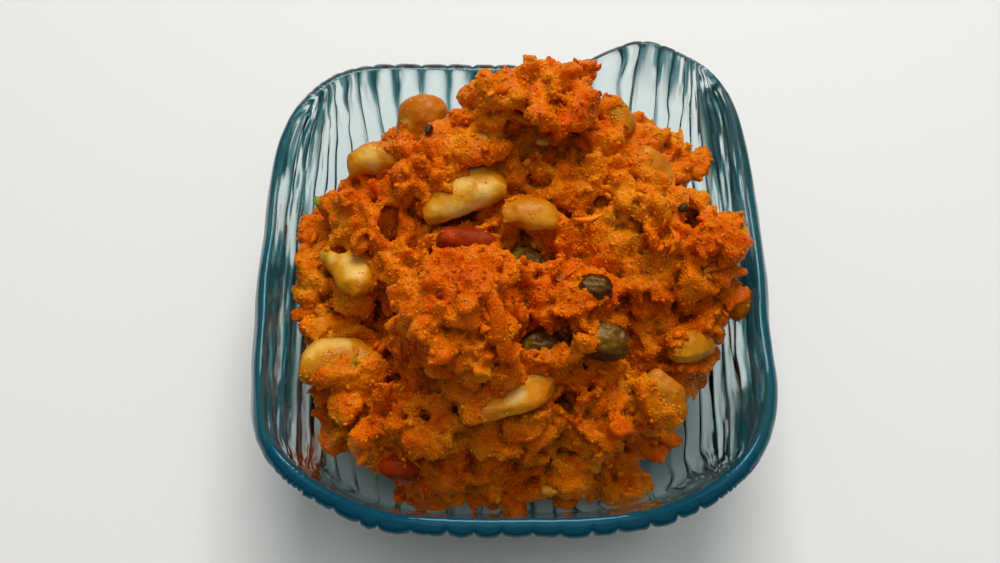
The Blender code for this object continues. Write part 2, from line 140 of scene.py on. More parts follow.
def mesh_piece(
    name: str,
    points: np.ndarray,
    faces: np.ndarray,
    material: bpy.types.Material | None = None,
    tones: dict[str, np.ndarray] | None = None,
) -> bpy.types.Object:
    """Makes a smooth-shaded mesh object.

    Args:
        name: The piece's name.
        points: Its points in millimetres, one row each.
        faces: Point numbers, one row for each face, all with as many corners.
        material: Its finish.
        tones: Values for each point that the finish reads as attributes, by name.

    Returns:
        The linked object, which sits at the origin.
    """
    mesh = bpy.data.meshes.new(name)
    count, corners = faces.shape
    mesh.vertices.add(len(points))
    mesh.vertices.foreach_set("co", (np.asarray(points) * MM).astype(np.float32).ravel())
    mesh.loops.add(count * corners)
    mesh.loops.foreach_set("vertex_index", faces.astype(np.int32).ravel())
    mesh.polygons.add(count)
    mesh.polygons.foreach_set("loop_start", np.arange(0, count * corners, corners, dtype=np.int32))
    mesh.update(calc_edges=True)
    mesh.shade_smooth()
    for key, values in (tones or {}).items():
        layer = mesh.attributes.new(key, "FLOAT", "POINT")
        layer.data.foreach_set("value", np.asarray(values, np.float32))
    piece = bpy.data.objects.new(name, mesh)
    bpy.context.scene.collection.objects.link(piece)
    if material:
        mesh.materials.append(material)
    return piece


def taken(piece: bpy.types.Object) -> bpy.types.Object:
    """Replaces a piece's mesh by what its modifiers make of it, and removes them.

    Args:
        piece: The piece.

    Returns:
        The same piece.
    """
    graph = bpy.context.evaluated_depsgraph_get()
    result = bpy.data.meshes.new_from_object(piece.evaluated_get(graph))
    piece.modifiers.clear()
    old, piece.data = piece.data, result
    bpy.data.meshes.remove(old)
    return piece


def mesh_arrays(mesh: bpy.types.Mesh) -> tuple[np.ndarray, np.ndarray, np.ndarray]:
    """Reads a mesh into arrays.

    Args:
        mesh: The mesh.

    Returns:
        Its points in millimetres, its points' normals, and its triangles.
    """
    places = np.empty(len(mesh.vertices) * 3)
    mesh.vertices.foreach_get("co", places)
    normals = np.empty(len(mesh.vertices) * 3)
    mesh.vertex_normals.foreach_get("vector", normals)
    mesh.calc_loop_triangles()
    triangles = np.empty(len(mesh.loop_triangles) * 3, int)
    mesh.loop_triangles.foreach_get("vertices", triangles)
    return places.reshape(-1, 3) / MM, normals.reshape(-1, 3), triangles.reshape(-1, 3)


def ball_surface(rings: int, sides: int) -> tuple[np.ndarray, np.ndarray, np.ndarray, np.ndarray]:
    """The two parameters of a closed round surface along X: a share of the length, and an angle round it.

    Args:
        rings: Rings of points between the two poles.
        sides: Points in each ring.

    Returns:
        Share (0 at the near pole, 1 at the far one) and angle of each point, its triangles facing out,
        and unit points of the ball that the two parameters give.
    """
    share = np.repeat(np.arange(1, rings + 1) / (rings + 1), sides)
    angle = np.tile(np.arange(sides) * math.tau / sides, rings)
    share = np.concatenate([[0.0], share, [1.0]])
    angle = np.concatenate([[0.0], angle, [0.0]])
    ring = 1 + np.arange(sides)
    after = 1 + (np.arange(sides) + 1) % sides
    last = rings * sides + 1
    shift = (rings - 1) * sides
    caps = [
        np.stack([np.zeros(sides, int), after, ring], 1),
        np.stack([np.full(sides, last), ring + shift, after + shift], 1),
    ]
    for step in range(rings - 1):
        low, high = step * sides, (step + 1) * sides
        caps += [np.stack([ring + low, after + low, after + high], 1)]
        caps += [np.stack([ring + low, after + high, ring + high], 1)]
    round_share = np.sin(math.pi * share)
    points = np.stack([-np.cos(math.pi * share), np.cos(angle) * round_share, np.sin(angle) * round_share], 1)
    return share, angle, np.concatenate(caps), points


def copied_faces(faces: np.ndarray, count: int, points_each: int) -> np.ndarray:
    """Faces of many copies of a shape whose points follow each other in one array."""
    return (faces[None] + (np.arange(count) * points_each)[:, None, None]).reshape(-1, faces.shape[1])


def turning(heading: float, pitch: float, roll: float) -> np.ndarray:
    """Rotation that rolls about X, then pitches about Y, then heads about Z.

    Args:
        heading: Turn about Z, in degrees.
        pitch: How far the end of X is lifted, in degrees.
        roll: Turn about X, in degrees.

    Returns:
        The rotation's matrix.
    """
    h, p, r = (math.radians(a) for a in (heading, -pitch, roll))
    about_z = np.array([[math.cos(h), -math.sin(h), 0], [math.sin(h), math.cos(h), 0], [0, 0, 1]])
    about_y = np.array([[math.cos(p), 0, math.sin(p)], [0, 1, 0], [-math.sin(p), 0, math.cos(p)]])
    about_x = np.array([[1, 0, 0], [0, math.cos(r), -math.sin(r)], [0, math.sin(r), math.cos(r)]])
    return about_z @ about_y @ about_x


def random_frames(rng: np.random.Generator, normals: np.ndarray, tilt: float) -> np.ndarray:
    """Frames that stand on a surface: the third axis near the normal, the first in a random direction.

    Args:
        rng: Source of the random directions.
        normals: The surface's normals.
        tilt: How far the third axis may lean from the normal, as the tangent of the lean.

    Returns:
        One matrix for each normal, its columns the frame's axes.
    """
    up = unit(normals + tilt * rng.uniform(-1.0, 1.0, normals.shape))
    along = unit(np.cross(up, unit(rng.normal(size=normals.shape))))
    return np.stack([along, np.cross(up, along), up], -1)


def posed(shapes: np.ndarray, frames: np.ndarray, centres: np.ndarray) -> np.ndarray:
    """Shapes turned into their frames and moved to their centres: shape, point and axis."""
    return np.einsum("nij,nkj->nki", frames, shapes) + centres[:, None]


def triangle_shapes(points: np.ndarray, faces: np.ndarray) -> tuple[np.ndarray, np.ndarray, np.ndarray]:
    """Measures triangles.

    Args:
        points: The points.
        faces: Point numbers, one row for each triangle.

    Returns:
        Corners, areas and normals of the triangles.
    """
    corners = points[faces]
    across = np.cross(corners[:, 1] - corners[:, 0], corners[:, 2] - corners[:, 0])
    return corners, np.linalg.norm(across, axis=1) / 2.0, unit(across)


def spread(
    rng: np.random.Generator, corners: np.ndarray, weight: np.ndarray, count: int
) -> tuple[np.ndarray, np.ndarray]:
    """Random places on triangles.

    Args:
        rng: Source of the random places.
        corners: The triangles' corners.
        weight: How likely each triangle is chosen.
        count: How many places.

    Returns:
        Number of each place's triangle, and the places.
    """
    chosen = rng.choice(len(corners), count, p=weight / weight.sum())
    first, second = rng.random((2, count, 1))
    fold = first + second > 1.0
    first, second = np.where(fold, 1.0 - first, first), np.where(fold, 1.0 - second, second)
    a, b, c = (corners[chosen, k] for k in range(3))
    return chosen, a + (b - a) * first + (c - a) * second


# Finishes


def add_node(
    tree: bpy.types.NodeTree, kind: str, settings: dict | None = None, **links: bpy.types.NodeSocket
) -> bpy.types.Node:
    """Adds a node with its settings and links.

    Args:
        tree: The material's node tree.
        kind: The node's type, without ShaderNode.
        settings: Properties of the node, and values of its inputs where a key is an input's name.
        links: Sockets of other nodes, by the input's name with _ for a blank or by _ and its number.

    Returns:
        The new node.
    """
    made = tree.nodes.new("ShaderNode" + kind)
    for key, value in (settings or {}).items():
        if isinstance(key, int):
            made.inputs[key].default_value = value
        elif key in made.inputs:
            made.inputs[key].default_value = value
        else:
            setattr(made, key, value)
    for key, socket in links.items():
        target = made.inputs[int(key[1:])] if key[0] == "_" else made.inputs[key.replace("_", " ")]
        tree.links.new(socket, target)
    return made


def ramp(
    tree: bpy.types.NodeTree, factor: bpy.types.NodeSocket, stops: tuple[tuple[float, str], ...]
) -> bpy.types.NodeSocket:
    """A colour ramp between sRGB hex colours.

    Args:
        tree: The material's node tree.
        factor: What moves along the ramp.
        stops: Position and colour of each stop.

    Returns:
        The ramp's colour socket.
    """
    made = add_node(tree, "ValToRGB", Fac=factor)
    band = made.color_ramp
    while len(band.elements) < len(stops):
        band.elements.new(0.5)
    for element, (position, colour) in zip(band.elements, stops):
        element.position = position
        element.color = linear(colour)
    return made.outputs["Color"]


def new_material(name: str) -> tuple[bpy.types.Material, bpy.types.NodeTree, bpy.types.Node]:
    """Makes a material with a Principled shader.

    Args:
        name: The material's name.

    Returns:
        The material, its node tree and its shader.
    """
    made = bpy.data.materials.new(name)
    made.use_nodes = True
    return made, made.node_tree, made.node_tree.nodes["Principled BSDF"]


def noise_on(
    tree: bpy.types.NodeTree, size_mm: float, detail: float = 2.0, roughness: float = 0.5
) -> bpy.types.NodeSocket:
    """Noise on the piece's own coordinates.

    Args:
        tree: The material's node tree.
        size_mm: Rough size of its features.
        detail: How many finer layers it has.
        roughness: Weight of the finer layers.

    Returns:
        The noise's socket.
    """
    place = add_node(tree, "TexCoord").outputs["Object"]
    settings = {"Scale": 1.0 / (size_mm * MM), "Detail": detail, "Roughness": roughness}
    return add_node(tree, "TexNoise", settings, Vector=place).outputs["Fac"]


@dataclass(frozen=True)
class PressedGlass:
    """Soda-lime glass, pressed and fire-polished, tinted blue-green all through.

    Thin stretches look pale and thick or edge-on ones deep teal, because the tint grows with the
    light's way through the glass. On top of that, the attribute depth paints shade into the colour:
    deep teal along the rim, in the valleys, in streaks on the sides and most on the front, standing
    in for the darkening that long ways through edge-on glass and dark reflections give. There the
    glass also lets less light through. Its skin is glossy with faint ripples from the mould.
    """

    # How strongly each metre of glass takes up light, in red, green and blue
    absorption: tuple[float, float, float] = (50.0, 18.0, 17.0)
    # Colours of the painted shade that the depth attribute mixes in: clear, mid teal and deepest teal
    clear: str = "#fcffff"
    shaded_teal: str = "#3c7a7e"
    deep: str = "#005068"
    gleam: str = "#9cd2de"
    ior: float = 1.5
    roughness: float = 0.02
    ripple_mm: float = 3.0
    ripple_depth_mm: float = 0.05

    def material(self) -> bpy.types.Material:
        """Builds the material.

        Returns:
            The material.
        """
        made, tree, shader = new_material("soda_lime_glass_pressed_teal")
        # Painted shade: the depth attribute darkens the colour to deep teal and turns transmission down
        depth = add_node(tree, "Attribute", {"attribute_name": "depth"}).outputs["Fac"]
        tint = ramp(tree, depth, ((0.0, self.clear), (0.4, self.shaded_teal), (1.0, self.deep)))
        tree.links.new(tint, shader.inputs["Base Color"])
        through = add_node(tree, "MapRange", {3: 1.0, 4: 0.34}, Value=depth)
        tree.links.new(through.outputs[0], shader.inputs["Transmission Weight"])
        shader.inputs["IOR"].default_value = self.ior
        shader.inputs["Roughness"].default_value = self.roughness
        shader.inputs["Specular Tint"].default_value = linear(self.gleam)
        ripple = noise_on(tree, self.ripple_mm, 3.0, 0.6)
        bump = add_node(tree, "Bump", {"Strength": 0.5, "Distance": self.ripple_depth_mm * MM}, Height=ripple)
        tree.links.new(bump.outputs["Normal"], shader.inputs["Normal"])
        density = max(self.absorption) * 1.2
        kept = tuple(1.0 - loss / density for loss in self.absorption) + (1.0,)
        inside = add_node(tree, "VolumeAbsorption", {"Color": kept, "Density": density})
        tree.links.new(inside.outputs["Volume"], tree.nodes["Material Output"].inputs["Volume"])
        return made


@dataclass(frozen=True)
class CookedCarrot:
    """Grated carrot boiled down with milk, sugar and ghee: moist, translucent and grainy.

    Light soaks in and comes back red and orange, and the film of ghee gives each grain a small glint.
    Crevices are painted deep red-brown: painted shade, mixed in by how deep each point lies.
    """

    name: str
    stops: tuple[tuple[float, str], ...]
    # Painted shade: the colour mixed into crevices, darker the deeper they lie
    crevice: str = "#500e00"
    grain_mm: float = 0.7
    grain_depth_mm: float = 0.6
    # Patches of redder and yellower carrot, and specks of it
    mottle_mm: float = 1.6
    speck_mm: float = 0.45
    roughness: float = 0.26
    ior: float = 1.42
    # Light comes back out red from farther away than green and blue
    soak_mm: float = 2.2
    soak_reach: tuple[float, float, float] = (1.0, 0.4, 0.08)
    soak: float = 0.85
    film: float = 0.05
    gleam: str = "#ff9838"

    def material(self) -> bpy.types.Material:
        """Builds the material.

        Returns:
            The material.
        """
        made, tree, shader = new_material(self.name)
        tint = add_node(tree, "Attribute", {"attribute_name": "tint"}).outputs["Fac"]
        mottle = noise_on(tree, self.mottle_mm, 3.0, 0.6)
        speck = noise_on(tree, self.speck_mm, 1.0)
        blend = add_node(tree, "Math", {"operation": "MULTIPLY_ADD", 1: 0.5}, _0=mottle, _2=tint).outputs[0]
        mixed = add_node(tree, "Math", {"operation": "MULTIPLY_ADD", 1: 0.8}, _0=speck, _2=blend).outputs[0]
        centred = add_node(tree, "Math", {"operation": "SUBTRACT", 1: 0.65}, _0=mixed).outputs[0]
        colour = ramp(tree, centred, self.stops)
        # Painted shade: points deep in crevices take the dark red-brown, by the attribute that marks them
        crevice_shade = add_node(tree, "Attribute", {"attribute_name": "crevice_shade"}).outputs["Fac"]
        shade = add_node(tree, "Mix", {"data_type": "RGBA"}, _0=crevice_shade, _6=colour)
        shade.inputs[7].default_value = linear(self.crevice)
        tree.links.new(shade.outputs[2], shader.inputs["Base Color"])
        grain = noise_on(tree, self.grain_mm, 2.0, 0.7)
        bump = add_node(tree, "Bump", {"Strength": 1.0, "Distance": self.grain_depth_mm * MM}, Height=grain)
        tree.links.new(bump.outputs["Normal"], shader.inputs["Normal"])
        wet = add_node(tree, "MapRange", {3: self.roughness - 0.12, 4: self.roughness + 0.14}, Value=mottle)
        tree.links.new(wet.outputs[0], shader.inputs["Roughness"])
        shader.inputs["IOR"].default_value = self.ior
        shader.inputs["Subsurface Weight"].default_value = self.soak
        shader.inputs["Subsurface Radius"].default_value = self.soak_reach
        shader.inputs["Subsurface Scale"].default_value = self.soak_mm * MM
        shader.inputs["Specular IOR Level"].default_value = 0.38
        shader.inputs["Specular Tint"].default_value = linear(self.gleam)
        shader.inputs["Coat Weight"].default_value = self.film
        shader.inputs["Coat Roughness"].default_value = 0.12
        return made


@dataclass(frozen=True)
class CookedNut:
    """Blanched nut simmered in the sweet: waxy, translucent, stained orange where ghee has soaked in."""

    name: str
    pale: str
    yellow: str
    stain: str
    roughness: float = 0.4
    soak: float = 0.45
    film: float = 0.12
    gleam: str = "#ffd078"
    mottle_mm: float = 2.2
    pit_mm: float = 0.5
    pit_depth_mm: float = 0.2
    ior: float = 1.45
    soak_mm: float = 1.4
    soak_reach: tuple[float, float, float] = (1.0, 0.7, 0.25)

    def material(self) -> bpy.types.Material:
        """Builds the material.

        Returns:
            The material.
        """
        made, tree, shader = new_material(self.name)
        stain = add_node(tree, "Attribute", {"attribute_name": "stain"}).outputs["Fac"]
        mottle = noise_on(tree, self.mottle_mm, 3.0, 0.6)
        blend = add_node(tree, "Math", {"operation": "MULTIPLY_ADD", 1: 0.6}, _0=mottle, _2=stain).outputs[0]
        centred = add_node(tree, "Math", {"operation": "SUBTRACT", 1: 0.3}, _0=blend).outputs[0]
        colour = ramp(tree, centred, ((0.08, self.pale), (0.34, self.yellow), (0.75, self.stain)))
        tree.links.new(colour, shader.inputs["Base Color"])
        pits = noise_on(tree, self.pit_mm, 3.0, 0.7)
        bump = add_node(tree, "Bump", {"Strength": 0.8, "Distance": self.pit_depth_mm * MM}, Height=pits)
        tree.links.new(bump.outputs["Normal"], shader.inputs["Normal"])
        shader.inputs["Roughness"].default_value = self.roughness
        shader.inputs["IOR"].default_value = self.ior
        shader.inputs["Subsurface Weight"].default_value = self.soak
        shader.inputs["Subsurface Radius"].default_value = self.soak_reach
        shader.inputs["Subsurface Scale"].default_value = self.soak_mm * MM
        shader.inputs["Specular Tint"].default_value = linear(self.gleam)
        shader.inputs["Coat Weight"].default_value = self.film
        shader.inputs["Coat Roughness"].default_value = 0.12
        return made


@dataclass(frozen=True)
class WhiteTable:
    """A matt white laminate table top, faintly warm, with no grain that shows."""

    colour: str = "#e0e0df"

    def material(self) -> bpy.types.Material:
        """Builds the material.

        Returns:
            The material.
        """
        made, _, shader = new_material("white_laminate_matt")
        shader.inputs["Base Color"].default_value = linear(self.colour)
        shader.inputs["Roughness"].default_value = 0.55
        shader.inputs["Specular IOR Level"].default_value = 0.3
        return made


# Dish


@dataclass
class Dish:
    """The square dish: glass slumped over ribs, so its underside is ribbed and its inside plain."""

    half_x: float = 59.8
    half_y: float = 61.8
    plan_power: float = 3.8
    foot_half: float = 32.2
    fillet: float = 20.0
    slope: float = math.radians(72.0)
    rim_z: float = 40.0
    floor_thick: float = 4.6
    rim_thick: float = 3.4
    crown_rise: float = 1.2
    # The rim is higher at its corners: bearing in degrees, rise, breadth in degrees
    corner_rises: tuple[tuple[float, float, float], ...] = (
        (45.0, 11.0, 15.0),
        (61.0, 8.0, 9.0),
        (135.0, 5.0, 17.0),
        (225.0, 11.0, 17.0),
        (315.0, 8.0, 17.0),
    )
    # The rim waves in and out and up and down by up to this much
    rim_swing: float = 0.55
    ribs: int = 27
    rib_depth: float = 0.95
    # How far the valleys wander to the side, in ribs, and depth of the furrows beside them
    rib_wander: float = 0.4
    furrow_depth: float = 0.12
    # Valleys between the ribs cut this deep below the smooth underside
    valley_depth: float = 0.6
    # They flatten where they bunch at the corners
    corner_fade: float = 1.6
    steps_a_rib: int = 10
    rows: int = 120
    crown_steps: int = 6
    lip_bearing: float = 50.0
    # Plan cells of the inside's heights: size of a cell, and cells on a side
    plan_cell: float = 0.5
    plan_side: int = 280

    def __post_init__(self) -> None:
        """Samples the inside surface finely and averages its heights in the cells of a plan."""
        s, t = self.sheet(900, 900)
        points = self.inside(*self.in_plan(s, t), 0.0).reshape(-1, 3)
        flat = self.plan_slot(points[:, 0], points[:, 1])
        total = np.bincount(flat, points[:, 2], self.plan_side**2)
        number = np.bincount(flat, minlength=self.plan_side**2)
        self.heights = np.where(number > 0, total / np.maximum(number, 1), 99.0)

    def plan_slot(self, x: np.ndarray, y: np.ndarray) -> np.ndarray:
        """Finds the cells of the plan that places lie in.

        Args:
            x: First coordinates of the places.
            y: Second coordinates of the places.

        Returns:
            The cells' numbers.
        """
        side = self.plan_side
        column, row = (np.clip(np.round(v / self.plan_cell).astype(int) + side // 2, 0, side - 1) for v in (x, y))
        return column * side + row

    def side_profile(self, share: np.ndarray) -> tuple[np.ndarray, np.ndarray]:
        """Half width and height of the underside at a share of the way from the foot's middle to the rim.

        The profile is a flat foot, an arc of the fillet's radius, and a straight wall at the slope.

        Args:
            share: Shares of the way, from 0 to 1.

        Returns:
            Half widths and heights.
        """
        arc = self.fillet * self.slope
        along = share * (self.foot_half + arc + self.wall_length())
        turn = np.clip((along - self.foot_half) / self.fillet, 0.0, self.slope)
        up_wall = np.maximum(along - self.foot_half - arc, 0.0)
        half = np.minimum(along, self.foot_half) + self.fillet * np.sin(turn) + up_wall * math.cos(self.slope)
        return half, self.fillet * (1.0 - np.cos(turn)) + up_wall * math.sin(self.slope)

    def wall_length(self) -> float:
        """Length of the straight part of a side's profile."""
        return (self.rim_z - self.fillet * (1.0 - math.cos(self.slope))) / math.sin(self.slope)

    def share_at(self, plan_x: np.ndarray, plan_y: np.ndarray) -> np.ndarray:
        """The share of the way to the rim at places in plan.

        A superellipse through the place gives a half width, at which the side profile is read backwards.

        Args:
            plan_x: First coordinate in plan, as a share of the rim's half width.
            plan_y: Second coordinate in plan, as a share of the rim's half width.

        Returns:
            Shares of the way, from 0 at the foot's middle to 1 at the rim.
        """
        power = self.plan_power
        gauge = (np.abs(plan_x) ** power + np.abs(plan_y) ** power) ** (1.0 / power)
        half = gauge * self.side_profile(np.array(1.0))[0]
        rise = math.sin(self.slope)
        turn = np.arcsin(np.clip((half - self.foot_half) / self.fillet, 0.0, rise))
        up_wall = np.maximum(half - self.foot_half - self.fillet * rise, 0.0) / math.cos(self.slope)
        whole = self.foot_half + self.fillet * self.slope + self.wall_length()
        return (np.minimum(half, self.foot_half) + self.fillet * turn + up_wall) / whole

    def underside(self, plan_x: np.ndarray, plan_y: np.ndarray) -> np.ndarray:
        """Points of the underside without its ribs.

        The height is the side profile's at the place's share of the way to the rim. Bumps over the
        bearing lift the rim at its corners, and smooth noise of the bearing makes it wave a little.

        Args:
            plan_x: First coordinate in plan, as a share of the rim's half width.
            plan_y: Second coordinate in plan, as a share of the rim's half width.

        Returns:
            Points, with the last axis x, y and z.
        """
        share = self.share_at(plan_x, plan_y)
        bearing = np.arctan2(plan_y, plan_x)
        rise = np.zeros_like(share)
        for degrees, lift, breadth in self.corner_rises:
            away = (np.degrees(bearing) - degrees + 180.0) % 360.0 - 180.0
            rise += lift * np.exp(-((away / breadth) ** 2))
        height = self.side_profile(share)[1] + rise * smoothstep(share, 0.55, 1.0)
        ring = np.stack([np.cos(bearing).ravel(), np.sin(bearing).ravel(), np.zeros(share.size)], 1)
        swing = self.rim_swing * lattice_noise(ring, 0.22, SEED + 71).reshape(share.shape)
        swing = swing * smoothstep(share, 0.7, 1.0)
        x, y = self.half_x * plan_x, self.half_y * plan_y
        return np.stack([x + swing * np.cos(bearing), y + swing * np.sin(bearing), height + swing], -1)

    def into_dish(self, plan_x: np.ndarray, plan_y: np.ndarray) -> np.ndarray:
        """Directions from the underside towards the inside, from central differences.

        Args:
            plan_x: First coordinate in plan, as a share of the rim's half width.
            plan_y: Second coordinate in plan, as a share of the rim's half width.

        Returns:
            Unit vectors.
        """
        step = 1e-3
        along_x = self.underside(plan_x + step, plan_y) - self.underside(plan_x - step, plan_y)
        along_y = self.underside(plan_x, plan_y + step) - self.underside(plan_x, plan_y - step)
        return unit(np.cross(along_x, along_y))

    def thickness(self, plan_x: np.ndarray, plan_y: np.ndarray) -> np.ndarray:
        """Wall thickness: thinner towards the rim, and thinnest at the flared rear right lip.

        Args:
            plan_x: First coordinate in plan, as a share of the rim's half width.
            plan_y: Second coordinate in plan, as a share of the rim's half width.

        Returns:
            Thicknesses.
        """
        share = self.share_at(plan_x, plan_y)
        plain = self.floor_thick + (self.rim_thick - self.floor_thick) * smoothstep(share, 0.35, 1.0)
        away = np.degrees(np.arctan2(plan_y, plan_x)) - self.lip_bearing
        return plain * (1.0 - 0.55 * np.exp(-((away / 13.0) ** 2)) * smoothstep(share, 0.82, 1.0))

    def inside(self, plan_x: np.ndarray, plan_y: np.ndarray, sink: float) -> np.ndarray:
        """Points of the inside surface, sunk by a little into the glass."""
        depth = self.thickness(plan_x, plan_y) - sink
        return self.underside(plan_x, plan_y) + self.into_dish(plan_x, plan_y) * depth[..., None]

    def bunching(self, s: np.ndarray, t: np.ndarray) -> np.ndarray:
        """How much a square sheet's lines are drawn together where it bends up at the corners.

        Args:
            s: Coordinate across the ribs, from -1 to 1.
            t: Coordinate along the ribs, from -1 to 1.

        Returns:
            Values from 0 on the sheet's axes to 0.5 at its corners.
        """
        rim = self.side_profile(np.array(1.0))[0]
        side = (self.side_profile(np.abs(s))[0] / rim) ** self.plan_power
        end = (self.side_profile(np.abs(t))[0] / rim) ** self.plan_power
        return side * end / np.maximum(side + end, 1e-9)

    def in_plan(self, s: np.ndarray, t: np.ndarray) -> tuple[np.ndarray, np.ndarray]:
        """Places in plan of a square sheet's coordinates.

        The sheet lies flat on the foot and bends up the sides, so its lines run straight in plan and
        bunch only at the rounded corners, and its border becomes the rim.

        Args:
            s: Coordinate across the ribs, from -1 to 1.
            t: Coordinate along the ribs, from -1 to 1.

        Returns:
            Both coordinates in plan, as shares of the rim's half widths.
        """
        rim = self.side_profile(np.array(1.0))[0]
        pull = (1.0 - self.bunching(s, t)) ** (1.0 / self.plan_power) / rim
        plan_x = np.sign(s) * self.side_profile(np.abs(s))[0] * pull
        return plan_x, np.sign(t) * self.side_profile(np.abs(t))[0] * pull

    @staticmethod
    def sheet(columns: int, rows: int) -> tuple[np.ndarray, np.ndarray]:
        """Coordinates of a square sheet's grid points, each from -1 to 1."""
        return np.meshgrid(np.linspace(-1, 1, columns + 1), np.linspace(-1, 1, rows + 1), indexing="ij")

    @staticmethod
    def sheet_faces(columns: int, rows: int) -> np.ndarray:
        """Triangles of a sheet's grid that face up, with diagonals that run from the middle outwards.

        Args:
            columns: Cells of the grid across the ribs.
            rows: Cells of the grid along the ribs.

        Returns:
            Point numbers, one row for each triangle.
        """
        i, j = np.meshgrid(np.arange(columns), np.arange(rows), indexing="ij")
        a = (i * (rows + 1) + j).ravel()
        b, c, d = a + rows + 1, a + rows + 2, a + 1
        rising = (((i + 0.5 - columns / 2) * (j + 0.5 - rows / 2)) > 0).ravel()
        first = np.where(rising[:, None], np.stack([a, b, c], 1), np.stack([a, b, d], 1))
        second = np.where(rising[:, None], np.stack([a, c, d], 1), np.stack([b, c, d], 1))
        return np.concatenate([first, second])

    @staticmethod
    def border(columns: int, rows: int) -> np.ndarray:
        """Numbers of the points on a sheet's border, counter-clockwise from above."""
        index = np.arange((columns + 1) * (rows + 1)).reshape(columns + 1, rows + 1)
        return np.concatenate([index[:-1, 0], index[-1, :-1], index[:0:-1, -1], index[0, :0:-1]])

    @staticmethod
    def band(low: np.ndarray, high: np.ndarray) -> np.ndarray:
        """Triangles between two closed rings of equally many points."""
        low_next, high_next = np.roll(low, -1), np.roll(high, -1)
        return np.concatenate([np.stack([low, low_next, high_next], 1), np.stack([low, high_next, high], 1)])

    def ribbed(self, s: np.ndarray, t: np.ndarray) -> tuple[np.ndarray, np.ndarray]:
        """The sheet's coordinate across the ribs with its wander, and how far each point stands out.

        A rib's section is a low power of a half cosine: broad, flat and ending in sharp valleys. The
        valleys wander and change depth along their length, and fine furrows run beside them as in bark.

        Args:
            s: Coordinate across the ribs.
            t: Coordinate along the ribs.

        Returns:
            The shifted s, and the height over the smooth underside.
        """
        flat = np.stack([s.ravel() * self.ribs / 2.0, t.ravel(), np.zeros(s.size)], 1)
        slow = lattice_noise(flat, (1.1, 0.30, 1.0), SEED + 21)
        quick = lattice_noise(flat, (0.9, 0.08, 1.0), SEED + 22)
        wander = (0.6 * slow + 0.35 * quick).reshape(s.shape)
        moved = s + wander * self.rib_wander * 2.0 / self.ribs * (1.0 - s**8)
        share = self.share_at(*self.in_plan(s, t))
        fade = 1.0 - self.corner_fade * self.bunching(s, t)
        phase = np.abs(np.cos(math.pi * self.ribs * s / 2.0))
        column = np.round(s * self.ribs / 2.0).astype(int)
        draw = np.random.default_rng(SEED).uniform(0.55, 1.0, self.ribs + 2)[column + self.ribs // 2]
        ridge = self.rib_depth * draw * phase**0.3 * smoothstep(share, 0.47, 0.62) * fade
        uneven = 0.65 + 0.6 * lattice_noise(flat, (0.8, 0.20, 1.0), SEED + 23).reshape(s.shape)
        valley = self.valley_depth * np.clip(uneven, 0.1, 1.25) * (1.0 - phase) ** 3 * fade
        furrow = lattice_noise(flat, (0.13, 0.10, 1.0), SEED + 24)
        furrow += 0.7 * lattice_noise(flat, (0.3, 0.05, 1.0), SEED + 25)
        fine = self.furrow_depth * furrow.reshape(s.shape) * smoothstep(share, 0.5, 0.7)
        return moved, ridge - valley + fine

    def depth(self, s: np.ndarray, t: np.ndarray) -> tuple[np.ndarray, np.ndarray]:
        """How much painted shade tints the glass: along the rim, in the valleys, in streaks on the sides and on the
        front.

        Args:
            s: Coordinate across the ribs.
            t: Coordinate along the ribs.

        Returns:
            Values from 0 to 1 for the underside and for the inside.
        """
        share = self.share_at(*self.in_plan(s, t))
        flat = np.stack([s.ravel() * self.ribs / 2.0, t.ravel() * 4.0, np.zeros(s.size)], 1)
        patch = lattice_noise(flat, (0.55, 0.9, 1.0), SEED + 27)
        patch += 0.7 * lattice_noise(flat, (0.16, 0.3, 1.0), SEED + 28)
        streak = smoothstep(patch.reshape(s.shape), -0.25, 0.35)
        uneven = 0.5 + 0.7 * lattice_noise(flat, (0.7, 0.5, 1.0), SEED + 29).reshape(s.shape)
        phase = np.abs(np.cos(math.pi * self.ribs * s / 2.0))
        apart = np.clip(1.0 - 2.4 * self.bunching(s, t), 0.0, 1.0)
        # Painted shade: dark lines in the valleys and dark wedges where they meet the rim
        valley = (1.0 - phase) ** 4.0 * smoothstep(share, 0.3, 0.6) * apart * np.clip(uneven, 0.15, 1.0)
        wedge = (1.0 - phase) ** 1.4 * smoothstep(share, 0.82, 1.0) ** 1.5 * (0.35 + 0.65 * apart)
        wedge = wedge * (0.55 + 0.9 * streak) + 0.6 * (1.0 - apart) * smoothstep(share, 0.84, 0.97) * streak
        # Painted shade: side and front walls and the rim are darker than the back, as edge-on glass and dark
        # reflections look
        side = smoothstep(np.abs(s), 0.76, 0.88) * smoothstep(share, 0.62, 0.85)
        front = smoothstep(-t, 0.74, 0.9) * smoothstep(share, 0.6, 0.85)
        edge = smoothstep(share, 0.985, 1.0)
        facing = smoothstep(-t, 0.55, 0.85)
        under = 0.7 * valley + 1.1 * wedge + (1.0 * side + 0.95 * front) * streak + edge * (0.1 + 0.85 * facing)
        over = edge * (0.02 + 0.95 * facing) + (0.5 * side + 0.5 * front) * streak
        return np.clip(under, 0.0, 1.0), np.clip(over, 0.0, 1.0)

